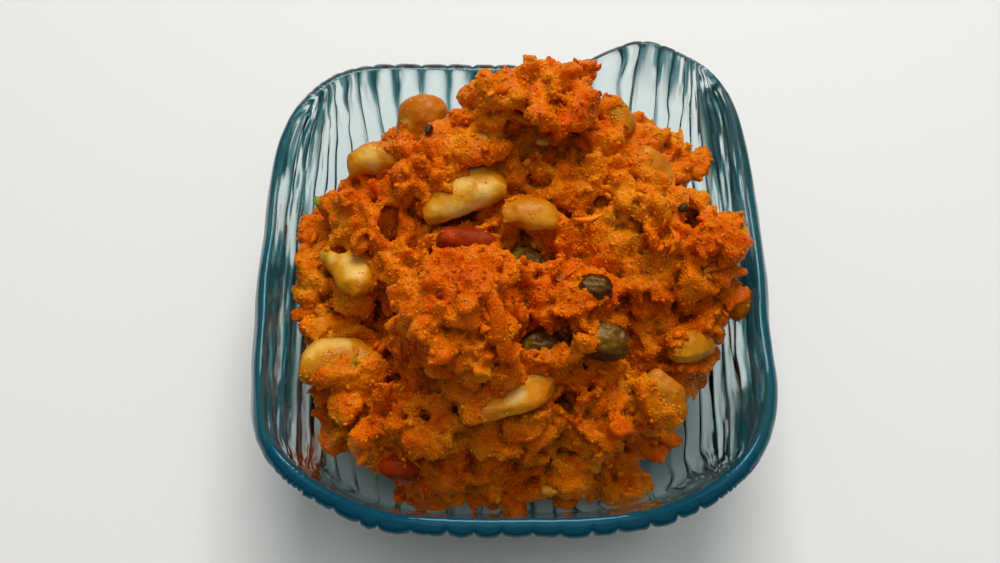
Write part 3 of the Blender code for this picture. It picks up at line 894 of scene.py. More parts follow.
    def build(self, glass: bpy.types.Material) -> bpy.types.Object:
        """Builds the dish: ribbed underside, plain inside and a rounded rim, as one closed skin.

        The rim's section is half an ellipse from the outer border to the inner one.

        Args:
            glass: The finish.

        Returns:
            The piece.
        """
        columns, rows = self.ribs * self.steps_a_rib, self.rows
        s, t = self.sheet(columns, rows)
        moved, stands_out = self.ribbed(s, t)
        plan = self.in_plan(moved, t)
        inward = self.into_dish(*plan)
        outer = (self.underside(*plan) - inward * stands_out[..., None]).reshape(-1, 3)
        inner = self.inside(*self.in_plan(s, t), 0.0).reshape(-1, 3)
        swell = lattice_noise(inner, (2.4, 7.0, 7.0), SEED + 26) * 0.07
        inner += inward.reshape(-1, 3) * swell[:, None]
        rim = self.border(columns, rows)
        middle, half = (outer[rim] + inner[rim]) / 2.0, (outer[rim] - inner[rim]) / 2.0
        arcs = np.arange(1, self.crown_steps) * math.pi / self.crown_steps
        lift = np.array([0.0, 0.0, self.crown_rise])
        crown = [middle + half * math.cos(a) + lift * math.sin(a) for a in arcs]
        count = len(outer)
        rings = [rim] + [2 * count + k * len(rim) + np.arange(len(rim)) for k in range(len(crown))] + [rim + count]
        up = self.sheet_faces(columns, rows)
        faces = [up[:, ::-1], up + count] + [self.band(low, high) for low, high in zip(rings, rings[1:])]
        under, over = (tone.ravel() for tone in self.depth(s, t))
        # Painted shade on the rim's crown, blended from the underside's to the inside's
        crown_shade = [under[rim] + (over[rim] - under[rim]) * a / math.pi for a in arcs]
        points, tones = np.concatenate([outer, inner] + crown), {"depth": np.concatenate([under, over] + crown_shade)}
        piece = mesh_piece("ribbed_glass_dish", points, np.concatenate(faces), glass, tones)
        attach(piece, BODY)
        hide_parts("dish")
        return piece

    def inside_height(self, x: np.ndarray, y: np.ndarray) -> np.ndarray:
        """Height of the inside surface below or above places in plan, outside it a wall's height."""
        return self.heights[self.plan_slot(x, y)]

    def room(self) -> bpy.types.Object:
        """Builds the space for the heap: everything over the inside surface, from just within the glass.

        Returns:
            A closed helper mesh.
        """
        cells, top, sink = 60, 110.0, 0.25
        s, t = self.sheet(cells, cells)
        floor = self.inside(*self.in_plan(s, t), sink).reshape(-1, 3)
        lid = floor.copy()
        lid[:, 2] = top
        rim, up = self.border(cells, cells), self.sheet_faces(cells, cells)
        faces = [up[:, ::-1], up + len(floor), self.band(rim, rim + len(floor))]
        return mesh_piece("room", np.concatenate([floor, lid]), np.concatenate(faces))


# Nuts


class Kind(Enum):
    """Form of a nut: bluntness of its two ends, bend, and depth of its under half."""

    ALMOND = (0.60, 1.05, 0.0, 0.45)
    CASHEW = (0.45, 0.62, 0.17, 0.80)
    RAISIN = (0.50, 0.62, 0.05, 0.90)
    CARROT = (0.34, 0.60, 0.06, 0.70)


@dataclass
class Nut:
    """One nut, raisin or large piece of carrot, laid where its solid lies.

    A positive notch splits its near end, coat is the share of it that halwa covers, and coat_from
    says in its own plan which side the halwa comes from.
    """

    node: str
    kind: Kind
    length: float
    width: float
    thick: float
    heading: float
    pitch: float
    roll: float
    notch: float = 0.0
    coat: float = 0.0
    coat_from: tuple[float, float] = (0.0, 1.0)
    stain: float = 0.35
    rings: int = 46
    sides: int = 40

    def __post_init__(self) -> None:
        """Finds the rotation and the middle from the solid that the nut stands for."""
        self.turn = turning(self.heading, self.pitch, self.roll)
        share, angle, _, _ = ball_surface(5, 9)
        rough = self.form(share, angle) @ self.turn.T
        low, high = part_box(self.node)
        middle = (np.array(low) + np.array(high)) / 2.0 / MM
        self.middle = middle - (rough.min(axis=0) + rough.max(axis=0)) / 2.0

    def form(self, share: np.ndarray, angle: np.ndarray) -> np.ndarray:
        """Plain surface: ovals along a bent line, whose girth is a power of the sine of the share.

        Args:
            share: Share of the length of each point.
            angle: Angle round the length of each point.

        Returns:
            Points in the nut's own frame.
        """
        near_end, far_end, bend, flat = self.kind.value
        arch = np.sin(math.pi * share)
        girth = 1.12 * np.maximum(arch, 0.0) ** np.where(share < 0.5, near_end, far_end)
        z = np.sin(angle) * self.thick / 2.0 * girth
        return np.stack(
            [
                -np.cos(math.pi * share) * self.length / 2.0,
                bend * self.length * (arch - 0.6) + np.cos(angle) * self.width / 2.0 * girth,
                np.where(z > 0, z, z * flat),
            ],
            -1,
        )

    def surface(self) -> tuple[np.ndarray, np.ndarray, np.ndarray, np.ndarray]:
        """Fine surface in the nut's own frame.

        Returns:
            Points, triangles, stain of each point, and each point's share of the length.
        """
        share, angle, faces, ball = ball_surface(self.rings, self.sides)
        points = self.form(share, angle)
        number = sum(map(ord, self.node))
        outward = unit(ball / np.array([self.length, self.width, self.thick]))
        if self.kind is Kind.RAISIN:
            # Wrinkles run along the raisin and fork: ridged noise, stretched along X
            fold = np.abs(lattice_noise(points, (3.4, 1.15, 1.15), number)) + 0.5 * np.abs(
                lattice_noise(points, (1.6, 0.6, 0.6), number + 1)
            )
            points = points + outward * (0.25 - 0.85 * fold)[:, None]
        else:
            # Flat breaks: what stands beyond a few random planes is pressed back to them
            for way in unit(np.random.default_rng(number).normal(size=(7, 3)) * np.array([0.6, 1.0, 1.0])):
                along = points @ way
                points = points - 0.85 * np.maximum(along - 0.87 * along.max(), 0.0)[:, None] * way
            lump = 0.45 * lattice_noise(points, 3.6, number) + 0.16 * lattice_noise(points, 1.1, number + 1)
            points = points + outward * lump[:, None]
        if self.notch:
            depth = self.notch * np.exp(-((points[:, 1] / (0.2 * self.width)) ** 2))
            points[:, 0] += depth * smoothstep(-points[:, 0], 0.1 * self.length, 0.5 * self.length)
        stain = self.stain + 0.02 + 0.8 * lattice_noise(points, 4.2, number + 2)
        off_middle = np.hypot(points[:, 0] / self.length, points[:, 1] / self.width) * 2.0
        stain = stain + 0.35 * smoothstep(off_middle, 0.65, 1.0)
        side = (points[:, :2] / np.array([self.length, self.width]) * 2.0) @ np.array(self.coat_from)
        stain = stain + 0.5 * self.coat * smoothstep(side, -0.6, 0.6)
        return points, faces, np.clip(stain, 0.0, 1.0), share

    def placed(self, points: np.ndarray) -> np.ndarray:
        """Points of the nut's own frame, in the dish's frame."""
        return points @ self.turn.T + self.middle

    def holds(self, places: np.ndarray, grow: float) -> np.ndarray:
        """Which places lie inside the nut grown by a distance, taking it as an ellipsoid.

        Args:
            places: The places.
            grow: The distance.

        Returns:
            Whether each place lies inside.
        """
        local = (places - self.middle) @ self.turn
        halves = np.array([self.length, self.width, self.thick]) / 2.0 + grow
        return ((local / halves) ** 2).sum(axis=1) < 1.0

    def build(self, material: bpy.types.Material, slot: str) -> bpy.types.Object:
        """Builds the nut and lets it stand for its solid.

        Args:
            material: The finish.
            slot: The name of a material slot for the part; not used.

        Returns:
            The piece.
        """
        points, faces, stain, _ = self.surface()
        piece = mesh_piece(f"{self.node}_fine", self.placed(points), faces, material, {"stain": stain})
        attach(piece, BODY)
        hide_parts(self.node)
        return piece


def nuts_of_photo() -> list[Nut]:
    """The nuts, raisins and the large piece of carrot, as the solids lie.

    Returns:
        The pieces, in the order in which they are built.
    """
    return [
        Nut("cashew_top", Kind.CASHEW, 21.5, 11.6, 7.5, 16, 8, -12, coat=0.05, coat_from=(0.1, 1.0), stain=0.25),
        Nut("cashew_middle", Kind.CASHEW, 13.0, 8.5, 5.5, -4, -4, -20, coat=0.2, coat_from=(-0.3, 1.0), stain=0.6),
        Nut("almond_crown", Kind.ALMOND, 19.0, 11.0, 6.0, -5, 6, -22, coat=0.68, coat_from=(0.1, -1.0), stain=0.0),
        Nut("almond_front", Kind.ALMOND, 25.0, 13.0, 6.0, 24, -10, -30, coat=0.76, coat_from=(-0.6, 0.8), stain=0.2),
        Nut("almond_rear", Kind.ALMOND, 15.0, 12.5, 10.0, 80, 45, 0, coat=0.1, coat_from=(-1.0, 0.0), stain=0.7),
        Nut("cashew_rear_left", Kind.CASHEW, 13.0, 7.5, 6.0, 12, 6, 0, coat=0.3, coat_from=(1.0, 0.2), stain=0.5),
        Nut("cashew_left", Kind.CASHEW, 17.0, 9.5, 6.0, -62, 18, -14, notch=5.0, coat=0.3, stain=0.15),
        Nut(
            "cashew_lower_left", Kind.CASHEW, 20.0, 12.0, 9.0, -4, -6, -10,
            coat=0.62, coat_from=(0.6, -0.8), stain=0.5,
        ),
        Nut("raisin_green", Kind.RAISIN, 10.5, 8.5, 7.0, -12, 0, 0, coat=0.1, stain=0.2),
        Nut("raisin_dark", Kind.RAISIN, 8.0, 6.0, 5.5, -8, 0, 0, stain=1.0),
        Nut("raisin_shade", Kind.RAISIN, 10.5, 7.5, 7.0, 10, 0, 0, stain=0.5),
        Nut("raisin_hollow", Kind.RAISIN, 8.5, 6.5, 6.0, -35, 0, 0, stain=0.3),
        Nut("cashew_right", Kind.CASHEW, 12.0, 7.5, 6.0, 24, -20, 0, coat=0.4, coat_from=(-0.5, 0.8), stain=0.6),
        Nut(
            "almond_low_right", Kind.ALMOND, 13.0, 9.0, 4.5, -50, -20, 25, coat=0.65, coat_from=(0.0, -1.0), stain=0.6
        ),
        Nut(
            "almond_right_rear", Kind.ALMOND, 13.0, 8.0, 5.0, -42, -16, 0, coat=0.74, coat_from=(0.0, -1.0), stain=0.5
        ),
        Nut(
            "cashew_top_right", Kind.CASHEW, 10.0, 7.0, 6.0, -60, -20, 0, coat=0.5, coat_from=(-1.0, -0.5), stain=0.7
        ),
        Nut("cashew_far_right", Kind.CASHEW, 12.0, 7.0, 6.0, -86, 0, 30, coat=1.25, coat_from=(0.0, -1.0), stain=0.7),
        Nut("carrot_chunk", Kind.CARROT, 14.0, 5.5, 4.5, -8, 0, 0, coat=0.1, stain=0.5),
    ]


# Heap


@dataclass
class Heap:
    """The sweet itself: clumps melted together, crumbs and flakes fused on, and loose bits scattered over."""

    # Clumps: centre x, y, z and half sizes x, y, z
    clumps: tuple[tuple[float, ...], ...] = (
        (0, -2, 16, 43, 41, 17),
        (-1, 0, 33, 33, 31, 22),
        (6, 34, 57, 17, 12, 13),
        (6, 30, 42, 20, 12, 16),
        (12, 39, 63, 9, 7, 7),
        (19, 24, 47, 20, 14, 13),
        (39, 33, 39, 10, 8, 9),
        (34, 36, 45, 6, 5, 5),
        (33, 6, 40, 20, 17, 17),
        (28, 12, 49, 13, 9, 9),
        (44, 0, 31, 9, 15, 15),
        (50, -4, 36, 5, 6, 6),
        (35, -14, 27, 13, 13, 14),
        (-12, -16, 47, 16, 16, 17),
        (-15, -21, 56, 10, 9, 9),
        (12, -13, 40, 13, 13, 14),
        (7, 9.5, 42, 9, 6, 9),
        (-32, 16, 38, 15, 16, 15),
        (-17, 24, 48, 14, 11, 13),
        (-22, 34, 32, 13, 11, 13),
        (-37, 2, 33, 9, 8, 9),
        (-44, 14, 30, 9, 14, 12),
        (-48, -4, 29, 5, 7, 6),
        (-38, -8, 20, 12, 12, 12),
        (-37, -22, 20, 12, 13, 12),
        (-12, -34, 27, 25, 12, 16),
        (19, -28, 27, 17, 13.5, 15),
        (-16, -42, 15, 14, 6, 7),
        (13, -41, 15, 19, 7, 8),
        (31, -29, 17, 8, 8, 9.5),
    )
    hollows: tuple[tuple[float, ...], ...] = (
        (3.5, 1.0, 52.0, 8.0, 4.5, 7.5),
        (-33.0, -12.5, 37.0, 8.0, 4.5, 6.0),
        (-30.0, -40.0, 18.0, 6.5, 5.0, 4.0),
        (7.0, -20.0, 50.0, 10.0, 3.8, 10.0),
        (2.0, 24.0, 60.0, 14.0, 3.5, 6.0),
    )
    # Gashes between torn clumps: centre x, y, z and half sizes x, y, z
    gashes: tuple[tuple[float, ...], ...] = (
        (2.2, 5.2, 53.0, 9.0, 2.6, 7.0),
        (-28.0, 10.0, 49.0, 1.8, 5.0, 7.0),
        (-33.0, -10.5, 38.0, 8.0, 3.0, 6.0),
        (8.5, -30.5, 37.0, 5.0, 1.6, 5.0),
        (-20.0, -35.0, 41.0, 5.5, 1.4, 5.0),
        (13.0, -40.0, 31.5, 9.0, 1.8, 5.0),
        (-3.0, -44.5, 32.0, 10.0, 1.7, 5.0),
        (1.0, -45.0, 24.0, 9.0, 1.5, 4.0),
        (35.5, -18.0, 40.0, 2.0, 4.0, 6.0),
        (34.0, -25.0, 35.0, 4.0, 2.2, 6.0),
        (16.0, -25.3, 43.0, 5.0, 1.7, 6.0),
        (-15.5, 1.2, 51.0, 6.5, 1.4, 5.0),
        (0.0, 25.5, 64.0, 9.0, 2.2, 5.0),
        (16.0, 12.0, 52.5, 6.0, 1.5, 5.0),
        (40.5, 9.0, 54.0, 1.8, 4.0, 5.0),
        (-7.0, -14.0, 61.5, 1.7, 3.0, 4.0),
        (-26.5, -12.0, 51.0, 1.8, 6.0, 6.0),
        (32.5, -10.6, 42.5, 1.6, 5.0, 5.0),
        (29.0, -2.0, 53.5, 1.5, 4.0, 4.0),
        (11.0, 28.5, 66.5, 1.6, 3.0, 4.0),
    )
    clump_lump: float = 0.2
    hollow_lump: float = 0.2
    lump_cell: float = 0.62
    crag_cell: float = 6.4
    crag_rise: float = 1.6
    # Torn lumps with seams between them: size of a lump, and depth of the seams
    seams: tuple[tuple[float, float], ...] = ((12.0, 4.2), (5.2, 0.7))
    clump_voxel: float = 0.9
    skin_voxel: float = 0.62
    triangles: int = 192000
    # Torn edges: size of the ridges, and how high they stand
    tears: tuple[tuple[float, float], ...] = ((3.4, 0.7), (1.7, 0.35))
    # Tips over this height lose this share of what they stand over it
    tip_height: float = 69.5
    tip_press: float = 0.55
    # Fused bits: number, least and most half length, how flat, how far they stand out of the skin, lean
    fused_bits: tuple[tuple[int, float, float, float, float, float], ...] = (
        (110, 2.6, 5.0, 0.4, 0.2, 1.8),
        (360, 1.3, 2.6, 0.35, 0.25, 1.2),
        (800, 0.7, 1.4, 0.6, 0.3, 1.5),
    )

    def ball(self, number: int, sizes: tuple[float, ...], lump: float) -> tuple[np.ndarray, np.ndarray]:
        """A clump: a ball stretched to its half sizes and swollen by noise over its surface.

        Args:
            number: The clump's number, which picks its noise.
            sizes: Centre x, y, z and half sizes x, y, z.
            lump: How strongly it swells.

        Returns:
            Points and triangles.
        """
        _, _, faces, ball = ball_surface(31, 48)
        centre, halves = np.array(sizes[:3], float), np.array(sizes[3:], float)
        points = ball * halves
        swell = 1.0 + lump * lattice_noise(points, self.lump_cell * halves.min(), SEED + number)
        return points * swell[:, None] + centre, faces

    def joined(
        self, name: str, all_sizes: tuple[tuple[float, ...], ...], lump: float, first: int
    ) -> bpy.types.Object:
        """Several balls as one mesh that overlaps itself.

        Args:
            name: The mesh's name.
            all_sizes: Centre and half sizes of each ball.
            lump: How strongly the balls swell.
            first: Number of the first ball.

        Returns:
            The mesh's object.
        """
        balls = [self.ball(first + k, sizes, lump) for k, sizes in enumerate(all_sizes)]
        points = np.concatenate([b[0] for b in balls])
        return mesh_piece(name, points, copied_faces(balls[0][1], len(balls), len(balls[0][0])))

    @staticmethod
    def fused(piece: bpy.types.Object, voxel: float) -> bpy.types.Object:
        """Melts a mesh that overlaps itself into one closed skin.

        Args:
            piece: The mesh's object.
            voxel: Size of the cells that it is melted with.

        Returns:
            The same object.
        """
        fuse = piece.modifiers.new("fuse", "REMESH")
        fuse.mode = "VOXEL"
        fuse.voxel_size = voxel * MM
        return taken(piece)

    @staticmethod
    def cut(piece: bpy.types.Object, other: bpy.types.Object, operation: str) -> bpy.types.Object:
        """Applies a Boolean between two closed meshes and removes the second.

        Args:
            piece: The first mesh's object.
            other: The second mesh's object.
            operation: What the Boolean keeps.

        Returns:
            The first object.
        """
        made = piece.modifiers.new("cut", "BOOLEAN")
        made.operation = operation
        made.solver = "MANIFOLD"
        made.object = other
        taken(piece)
        bpy.data.objects.remove(other)
        return piece

    def core(self) -> bpy.types.Object:
        """Builds the clumps less the hollows and gashes, with crags raised along the skin's normals.

        Seams run where the two nearest of a set of random seeds are equally far away.

        Returns:
            The core's object.
        """
        core = self.fused(self.joined("clumps", self.clumps, self.clump_lump, 0), self.clump_voxel)
        cuts = self.hollows + self.gashes
        scoops = self.fused(self.joined("scoops", cuts, self.hollow_lump, len(self.clumps)), self.clump_voxel)
        self.fused(self.cut(core, scoops, "DIFFERENCE"), self.clump_voxel)
        points, normals, _ = mesh_arrays(core.data)
        rise = self.crag_rise * lattice_noise(points, self.crag_cell, SEED + 1)
        bent = np.stack([lattice_noise(points, 5.0, SEED + 5 + k) for k in range(3)], 1)
        for number, (cell, depth) in enumerate(self.seams):
            warped = (points + 0.3 * cell * bent) * np.array([1.0, 1.0, 1.35])
            nearest, second = cell_distances(warped, cell, SEED + 14 + number)
            rise += depth * (smoothstep(second - nearest, 0.0, 0.35) - 0.8)
        points += normals * rise[:, None]
        core.data.vertices.foreach_set("co", (points * MM).astype(np.float32).ravel())
        core.data.update()
        return core

    def bits(self, rng: np.random.Generator, skin: "Skin", nuts: list[Nut]) -> tuple[np.ndarray, np.ndarray]:
        """Crumbs and torn flakes that are fused to the core.

        Each is a ball of few faces, flattened, with every point pushed in or out at random, so that
        it has corners and edges like a torn crumb.

        Args:
            rng: Source of the random draws.
            skin: The core's surface.
            nuts: The nuts, which stay free of them.

        Returns:
            Points and triangles.
        """
        _, _, faces, ball = ball_surface(4, 7)
        all_points, all_faces, start = [], [], 0
        for number, low, high, flat, out, lean in self.fused_bits:
            places, normals, _ = skin.sample(rng, number)
            size = low + (high - low) * rng.random(number) ** 1.6
            clear = ~np.any([nut.holds(places, 1.0) for nut in nuts], axis=0)
            places, normals, size = places[clear], normals[clear], size[clear]
            count = len(places)
            jitter = 1.0 + rng.uniform(-0.2, 0.2, (count, len(ball)))
            wide, thin = rng.uniform(0.55, 0.95, count), flat * rng.uniform(0.7, 1.2, count)
            stretch = np.stack([np.ones(count), wide, thin], 1)
            local = ball[None] * jitter[..., None] * (stretch * size[:, None])[:, None]
            frames = random_frames(rng, normals, lean)
            centre = places + normals * (size * out * rng.uniform(-0.6, 1.0, count))[:, None]
            all_points.append(posed(local, frames, centre).reshape(-1, 3))
            all_faces.append(copied_faces(faces, count, len(ball)) + start)
            start += count * len(ball)
        return np.concatenate(all_points), np.concatenate(all_faces)

    def coats(self, rng: np.random.Generator, nuts: list[Nut], core: "Skin") -> tuple[np.ndarray, np.ndarray]:
        """Crumbs of the sweet that cling to the nuts.

        They lie thickest on the side that each nut's coat names, and along the line where the nut
        goes into the core, which is where its surface and the core's nearly meet.

        Args:
            rng: Source of the random draws.
            nuts: The nuts.
            core: The core's surface.

        Returns:
            Points and triangles.
        """
        _, _, faces, ball = ball_surface(4, 7)
        all_points = []
        for nut in nuts:
            points, _, _, share = nut.surface()
            local = points / np.array([nut.length, nut.width, nut.thick]) * 2.0
            side = local[:, :2] @ np.array(nut.coat_from)
            reach = 1.3 - 2.1 * nut.coat
            ragged = lattice_noise(points, 2.4, SEED + 61)
            evened = np.maximum(np.sin(math.pi * share), 0.0)
            cover = smoothstep(side + 0.4 * ragged, reach, reach + 0.3) * (local[:, 2] > -0.2) * evened
            over = core.height_over(nut.placed(points))
            line = np.exp(-(((over - 0.3 - 0.8 * ragged) / 0.55) ** 2)) * evened
            for wish, count, largest in (
                (cover, int(3.6 * nut.length * nut.width * nut.coat), 0.7 + 0.5 * nut.coat),
                (line, int(2.4 * (nut.length + nut.width)), 0.9),
            ):
                if count == 0 or wish.sum() <= 1e-6:
                    continue
                chosen = rng.choice(len(points), count, p=wish / wish.sum())
                size = rng.uniform(0.4, largest, count)
                jitter = 1.0 + rng.uniform(-0.32, 0.28, (count, len(ball)))
                crumb = ball[None] * jitter[..., None] * size[:, None, None] * np.array([1.0, 0.8, 0.7])
                frames = random_frames(rng, np.tile([0.0, 0.0, 1.0], (count, 1)), 1.0)
                centre = points[chosen] + np.array([0.0, 0.0, 0.2]) * size[:, None]
                all_points.append(nut.placed(posed(crumb, frames, centre).reshape(-1, 3)))
        points = np.concatenate(all_points)
        return points, copied_faces(faces, len(points) // len(ball), len(ball))

    def roughen(self, piece: bpy.types.Object) -> None:
        """Tears the skin and raises grains on it.

        Ridged noise, 1 less the size of smooth noise, gives sharp torn edges with soft dips between
        them, and small cells domed in the middle give grains. The highest tips are pressed down.

        Args:
            piece: The heap, whose mesh is changed.
        """
        points, normals, _ = mesh_arrays(piece.data)
        bent = points + 0.8 * np.stack([lattice_noise(points, 2.5, SEED + 34 + k) for k in range(3)], 1)
        torn = np.zeros(len(points))
        for number, (cell, height) in enumerate(self.tears):
            torn += height * (0.4 - np.abs(lattice_noise(bent, cell, SEED + 37 + number)))
        torn += 0.26 * lattice_noise(bent, 0.9, SEED + 39)
        dome = 0.3 * (0.5 - cell_distances(points, 1.1, SEED + 31)[0])
        points += normals * (torn + dome)[:, None]
        points[:, 2] -= self.tip_press * np.maximum(points[:, 2] - self.tip_height, 0.0)
        piece.data.vertices.foreach_set("co", (points * MM).astype(np.float32).ravel())
        piece.data.update()

    @staticmethod
    def largest_part(points: np.ndarray, faces: np.ndarray) -> tuple[np.ndarray, np.ndarray]:
        """Keeps the largest connected part of a mesh, so that no crumb hangs in the air.

        Each point takes the lowest number among its neighbours, and then the number's own, until
        nothing changes. Points with the same number are then connected.

        Args:
            points: The mesh's points.
            faces: Its triangles.

        Returns:
            Points and triangles of the part that is kept.
        """
        edges = np.concatenate([faces[:, [0, 1]], faces[:, [1, 2]]])
        number = np.arange(len(points))
        while True:
            lowest = number[edges].min(axis=1)
            after = number.copy()
            np.minimum.at(after, edges[:, 0], lowest)
            np.minimum.at(after, edges[:, 1], lowest)
            after = after[after]
            if (after == number).all():
                break
            number = after
        kept = number == np.bincount(number).argmax()
        moved = np.cumsum(kept) - 1
        return points[kept], moved[faces[kept[faces[:, 0]]]]

    def build(self, dish: Dish, nuts: list[Nut], carrot: bpy.types.Material) -> tuple[bpy.types.Object, "Skin"]:
        """Builds the heap's body.

        Args:
            dish: The dish, whose inside the heap fills.
            nuts: The nuts, which stay bare where they show.
            carrot: The finish.

        Returns:
            The piece, and its skin for scattering on.
        """
        rng = np.random.default_rng(SEED)
        core = self.core()
        skin = Skin(core, dish)
        core_points, _, core_faces = mesh_arrays(core.data)
        parts = [(core_points, core_faces), self.bits(rng, skin, nuts), self.coats(rng, nuts, skin)]
        starts = np.cumsum([0] + [len(p) for p, _ in parts])
        faces = np.concatenate([f + start for (_, f), start in zip(parts, starts)])
        piece = mesh_piece("halwa_body", np.concatenate([p for p, _ in parts]), faces)
        bpy.data.objects.remove(core)
        self.fused(piece, self.skin_voxel)
        self.roughen(piece)
        self.cut(piece, dish.room(), "INTERSECT")
        thin = piece.modifiers.new("thin", "DECIMATE")
        piece.data.calc_loop_triangles()
        thin.ratio = min(1.0, self.triangles / len(piece.data.loop_triangles))
        thin.use_collapse_triangulate = True
        points, _, faces = mesh_arrays(taken(piece).data)
        bpy.data.objects.remove(piece)
        piece = mesh_piece("halwa_body", *self.largest_part(points, faces), carrot)
        skin = Skin(piece, dish)
        skin.write_tones(piece.data)
        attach(piece, BODY)
        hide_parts("halwa")
        return piece, skin


class Skin:
    """A piece's surface as arrays, for scattering on and for its tones."""

    # An open triangle is this clear of the glass, and its normal's height is over this
    clear_of_glass: float = 1.5
    least_facing: float = -0.55

    def __init__(self, piece: bpy.types.Object, dish: Dish) -> None:
        """Reads the surface and how open each triangle is.

        Args:
            piece: The piece.
            dish: The dish that it lies in.
        """
        self.points, self.normals, self.faces = mesh_arrays(piece.data)
        corners, self.areas, self.facing = triangle_shapes(self.points, self.faces)
        middles = corners.mean(axis=1)
        above = middles[:, 2] - dish.inside_height(middles[:, 0], middles[:, 1])
        self.open = (above > self.clear_of_glass) & (self.facing[:, 2] > self.least_facing)
        self.depth = np.zeros(len(self.points))

    def sample(self, rng: np.random.Generator, count: int) -> tuple[np.ndarray, np.ndarray, np.ndarray]:
        """Random places on the open surface, as many for each area, with fewer where it leans over.

        Args:
            rng: Source of the random places.
            count: How many places.

        Returns:
            The places, the normals there and how deep each lies in a crevice.
        """
        weight = self.areas * self.open * (0.35 + 0.65 * np.clip(self.facing[:, 2] + 0.4, 0.0, 1.0))
        chosen, places = spread(rng, self.points[self.faces], weight, count)
        return places, self.facing[chosen], self.depth[self.faces[chosen, 0]]

    def seen(self, eye: np.ndarray, place: np.ndarray) -> tuple[np.ndarray, np.ndarray]:
        """The surface's first point on the line of sight from an eye through a place, and its normal.

        Args:
            eye: Where the line starts.
            place: Where it passes.

        Returns:
            The point and the normal.
        """
        way = unit(place - eye)
        gap = self.points - eye
        along = gap @ way
        off = np.linalg.norm(gap - along[:, None] * way, axis=1)
        near = np.flatnonzero(off < max(0.9, 1.5 * off.min()))
        chosen = near[along[near].argmin()]
        return self.points[chosen], self.normals[chosen]

    def height_over(self, places: np.ndarray) -> np.ndarray:
        """How far places lie outside the surface, from the surface's nearest point.

        Args:
            places: The places.

        Returns:
            Distances, negative inside the surface.
        """
        low, high = places.min(axis=0) - 4.0, places.max(axis=0) + 4.0
        near = np.flatnonzero(((self.points > low) & (self.points < high)).all(axis=1))
        gaps = places[:, None] - self.points[near][None]
        chosen = (gaps**2).sum(axis=2).argmin(axis=1)
        return (gaps[np.arange(len(places)), chosen] * self.normals[near][chosen]).sum(axis=1)

    def smoothed(self, values: np.ndarray, rounds: int) -> np.ndarray:
        """Values of the points, averaged with their neighbours along the edges, several times over.

        Args:
            values: One row for each point.
            rounds: How many times.

        Returns:
            The smoothed values.
        """
        edges = np.concatenate([self.faces[:, [0, 1]], self.faces[:, [1, 2]], self.faces[:, [2, 0]]])
        edges = np.concatenate([edges, edges[:, ::-1]])
        degree = np.maximum(np.bincount(edges[:, 0], minlength=len(self.points)), 1)
        for _ in range(rounds):
            columns = values[edges[:, 1]].T
            total = [np.bincount(edges[:, 0], column, len(self.points)) for column in columns]
            values = 0.5 * values + 0.5 * np.stack(total, 1) / degree[:, None]
        return values

    def crevice_shade(self) -> np.ndarray:
        """How deep each point lies in a crevice: how far its near and wide surroundings stand over it.

        Returns:
            Values from 0 to 1.
        """
        # Painted shade: these depths set how far the sweet's finish darkens towards its crevice colour
        near = ((self.smoothed(self.points, 6) - self.points) * self.normals).sum(axis=1)
        wide = ((self.smoothed(self.points, 40) - self.points) * self.normals).sum(axis=1)
        return np.clip(0.3 * smoothstep(near, 0.05, 0.8) + 1.0 * smoothstep(wide, 0.3, 1.9), 0.0, 1.0)

    @staticmethod
    def tint(places: np.ndarray) -> np.ndarray:
        """Where the sweet is redder or yellower: patches from a few grains to a few clumps wide.

        Args:
            places: The places.

        Returns:
            Values from 0 for red to 1 for yellow.
        """
        wide = 0.28 * lattice_noise(places, 13.0, SEED + 41)
        patch = 0.30 * lattice_noise(places, 4.5, SEED + 42)
        grain = 0.18 * lattice_noise(places, 1.3, SEED + 43)
        return np.clip(0.5 + wide + patch + grain, 0.0, 1.0)

    def write_tones(self, mesh: bpy.types.Mesh) -> None:
        """Writes the tint of each point, and how deep it lies in a crevice, which the finish turns into painted
        shade, into a mesh's attributes.

        Args:
            mesh: The mesh that the surface was read from.
        """
        # Painted shade: the crevice depths, scaled, go to the finish, which darkens the sweet there
        self.depth = 0.85 * self.crevice_shade()
        for key, values in (("tint", self.tint(self.points)), ("crevice_shade", self.depth)):
            mesh.attributes.new(key, "FLOAT", "POINT").data.foreach_set("value", values.astype(np.float32))


# Loose bits on the heap


@dataclass
class Scatter:
    """Loose bits of one kind on the heap, as one joined mesh."""

    name: str
    number: int
    seed: int
    nuts: list[Nut] = field(default_factory=list)
    keep_off: float = 0.4

    def spots(
        self, skin: Skin, dish: Dish, reach: float
    ) -> tuple[np.random.Generator, np.ndarray, np.ndarray, np.ndarray]:
        """Places, normals and cavities on the skin for the bits, off the nuts and clear of the glass.

        Args:
            skin: The heap's surface.
            dish: The dish.
            reach: How far a bit reaches from its place.

        Returns:
            The source of further random draws, places, normals and cavities.
        """
        rng = np.random.default_rng(SEED + self.seed)
        places, normals, depth = skin.sample(rng, self.number * 2)
        on_nut = np.any([nut.holds(places, self.keep_off) for nut in self.nuts], axis=0)
        above = places[:, 2] - dish.inside_height(places[:, 0], places[:, 1])
        chosen = np.flatnonzero(~on_nut & (above > 1.6 * reach))[: self.number]
        return rng, places[chosen], normals[chosen], depth[chosen]

    def place(
        self,
        points: np.ndarray,
        faces: np.ndarray,
        shifts: np.ndarray,
        depth: np.ndarray,
        material: bpy.types.Material,
    ) -> bpy.types.Object:
        """Makes the joined mesh.

        Args:
            points: Points of each bit: bit, point and axis.
            faces: Triangles of one bit.
            shifts: A tint shift for each bit.
            depth: How deep each bit lies in a crevice, which sets its painted shade.
            material: The finish.

        Returns:
            The piece.
        """
        count, each = points.shape[:2]
        flat = points.reshape(-1, 3)
        tint = np.clip(Skin.tint(flat) + np.repeat(shifts, each), 0.0, 1.0)
        # Painted shade: grains that lie in crevices take the same crevice darkening
        tones = {"tint": tint, "crevice_shade": np.repeat(0.8 * depth, each)}
        piece = mesh_piece(self.name, flat, copied_faces(faces, count, each), material, tones)
        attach(piece, BODY)
        return piece


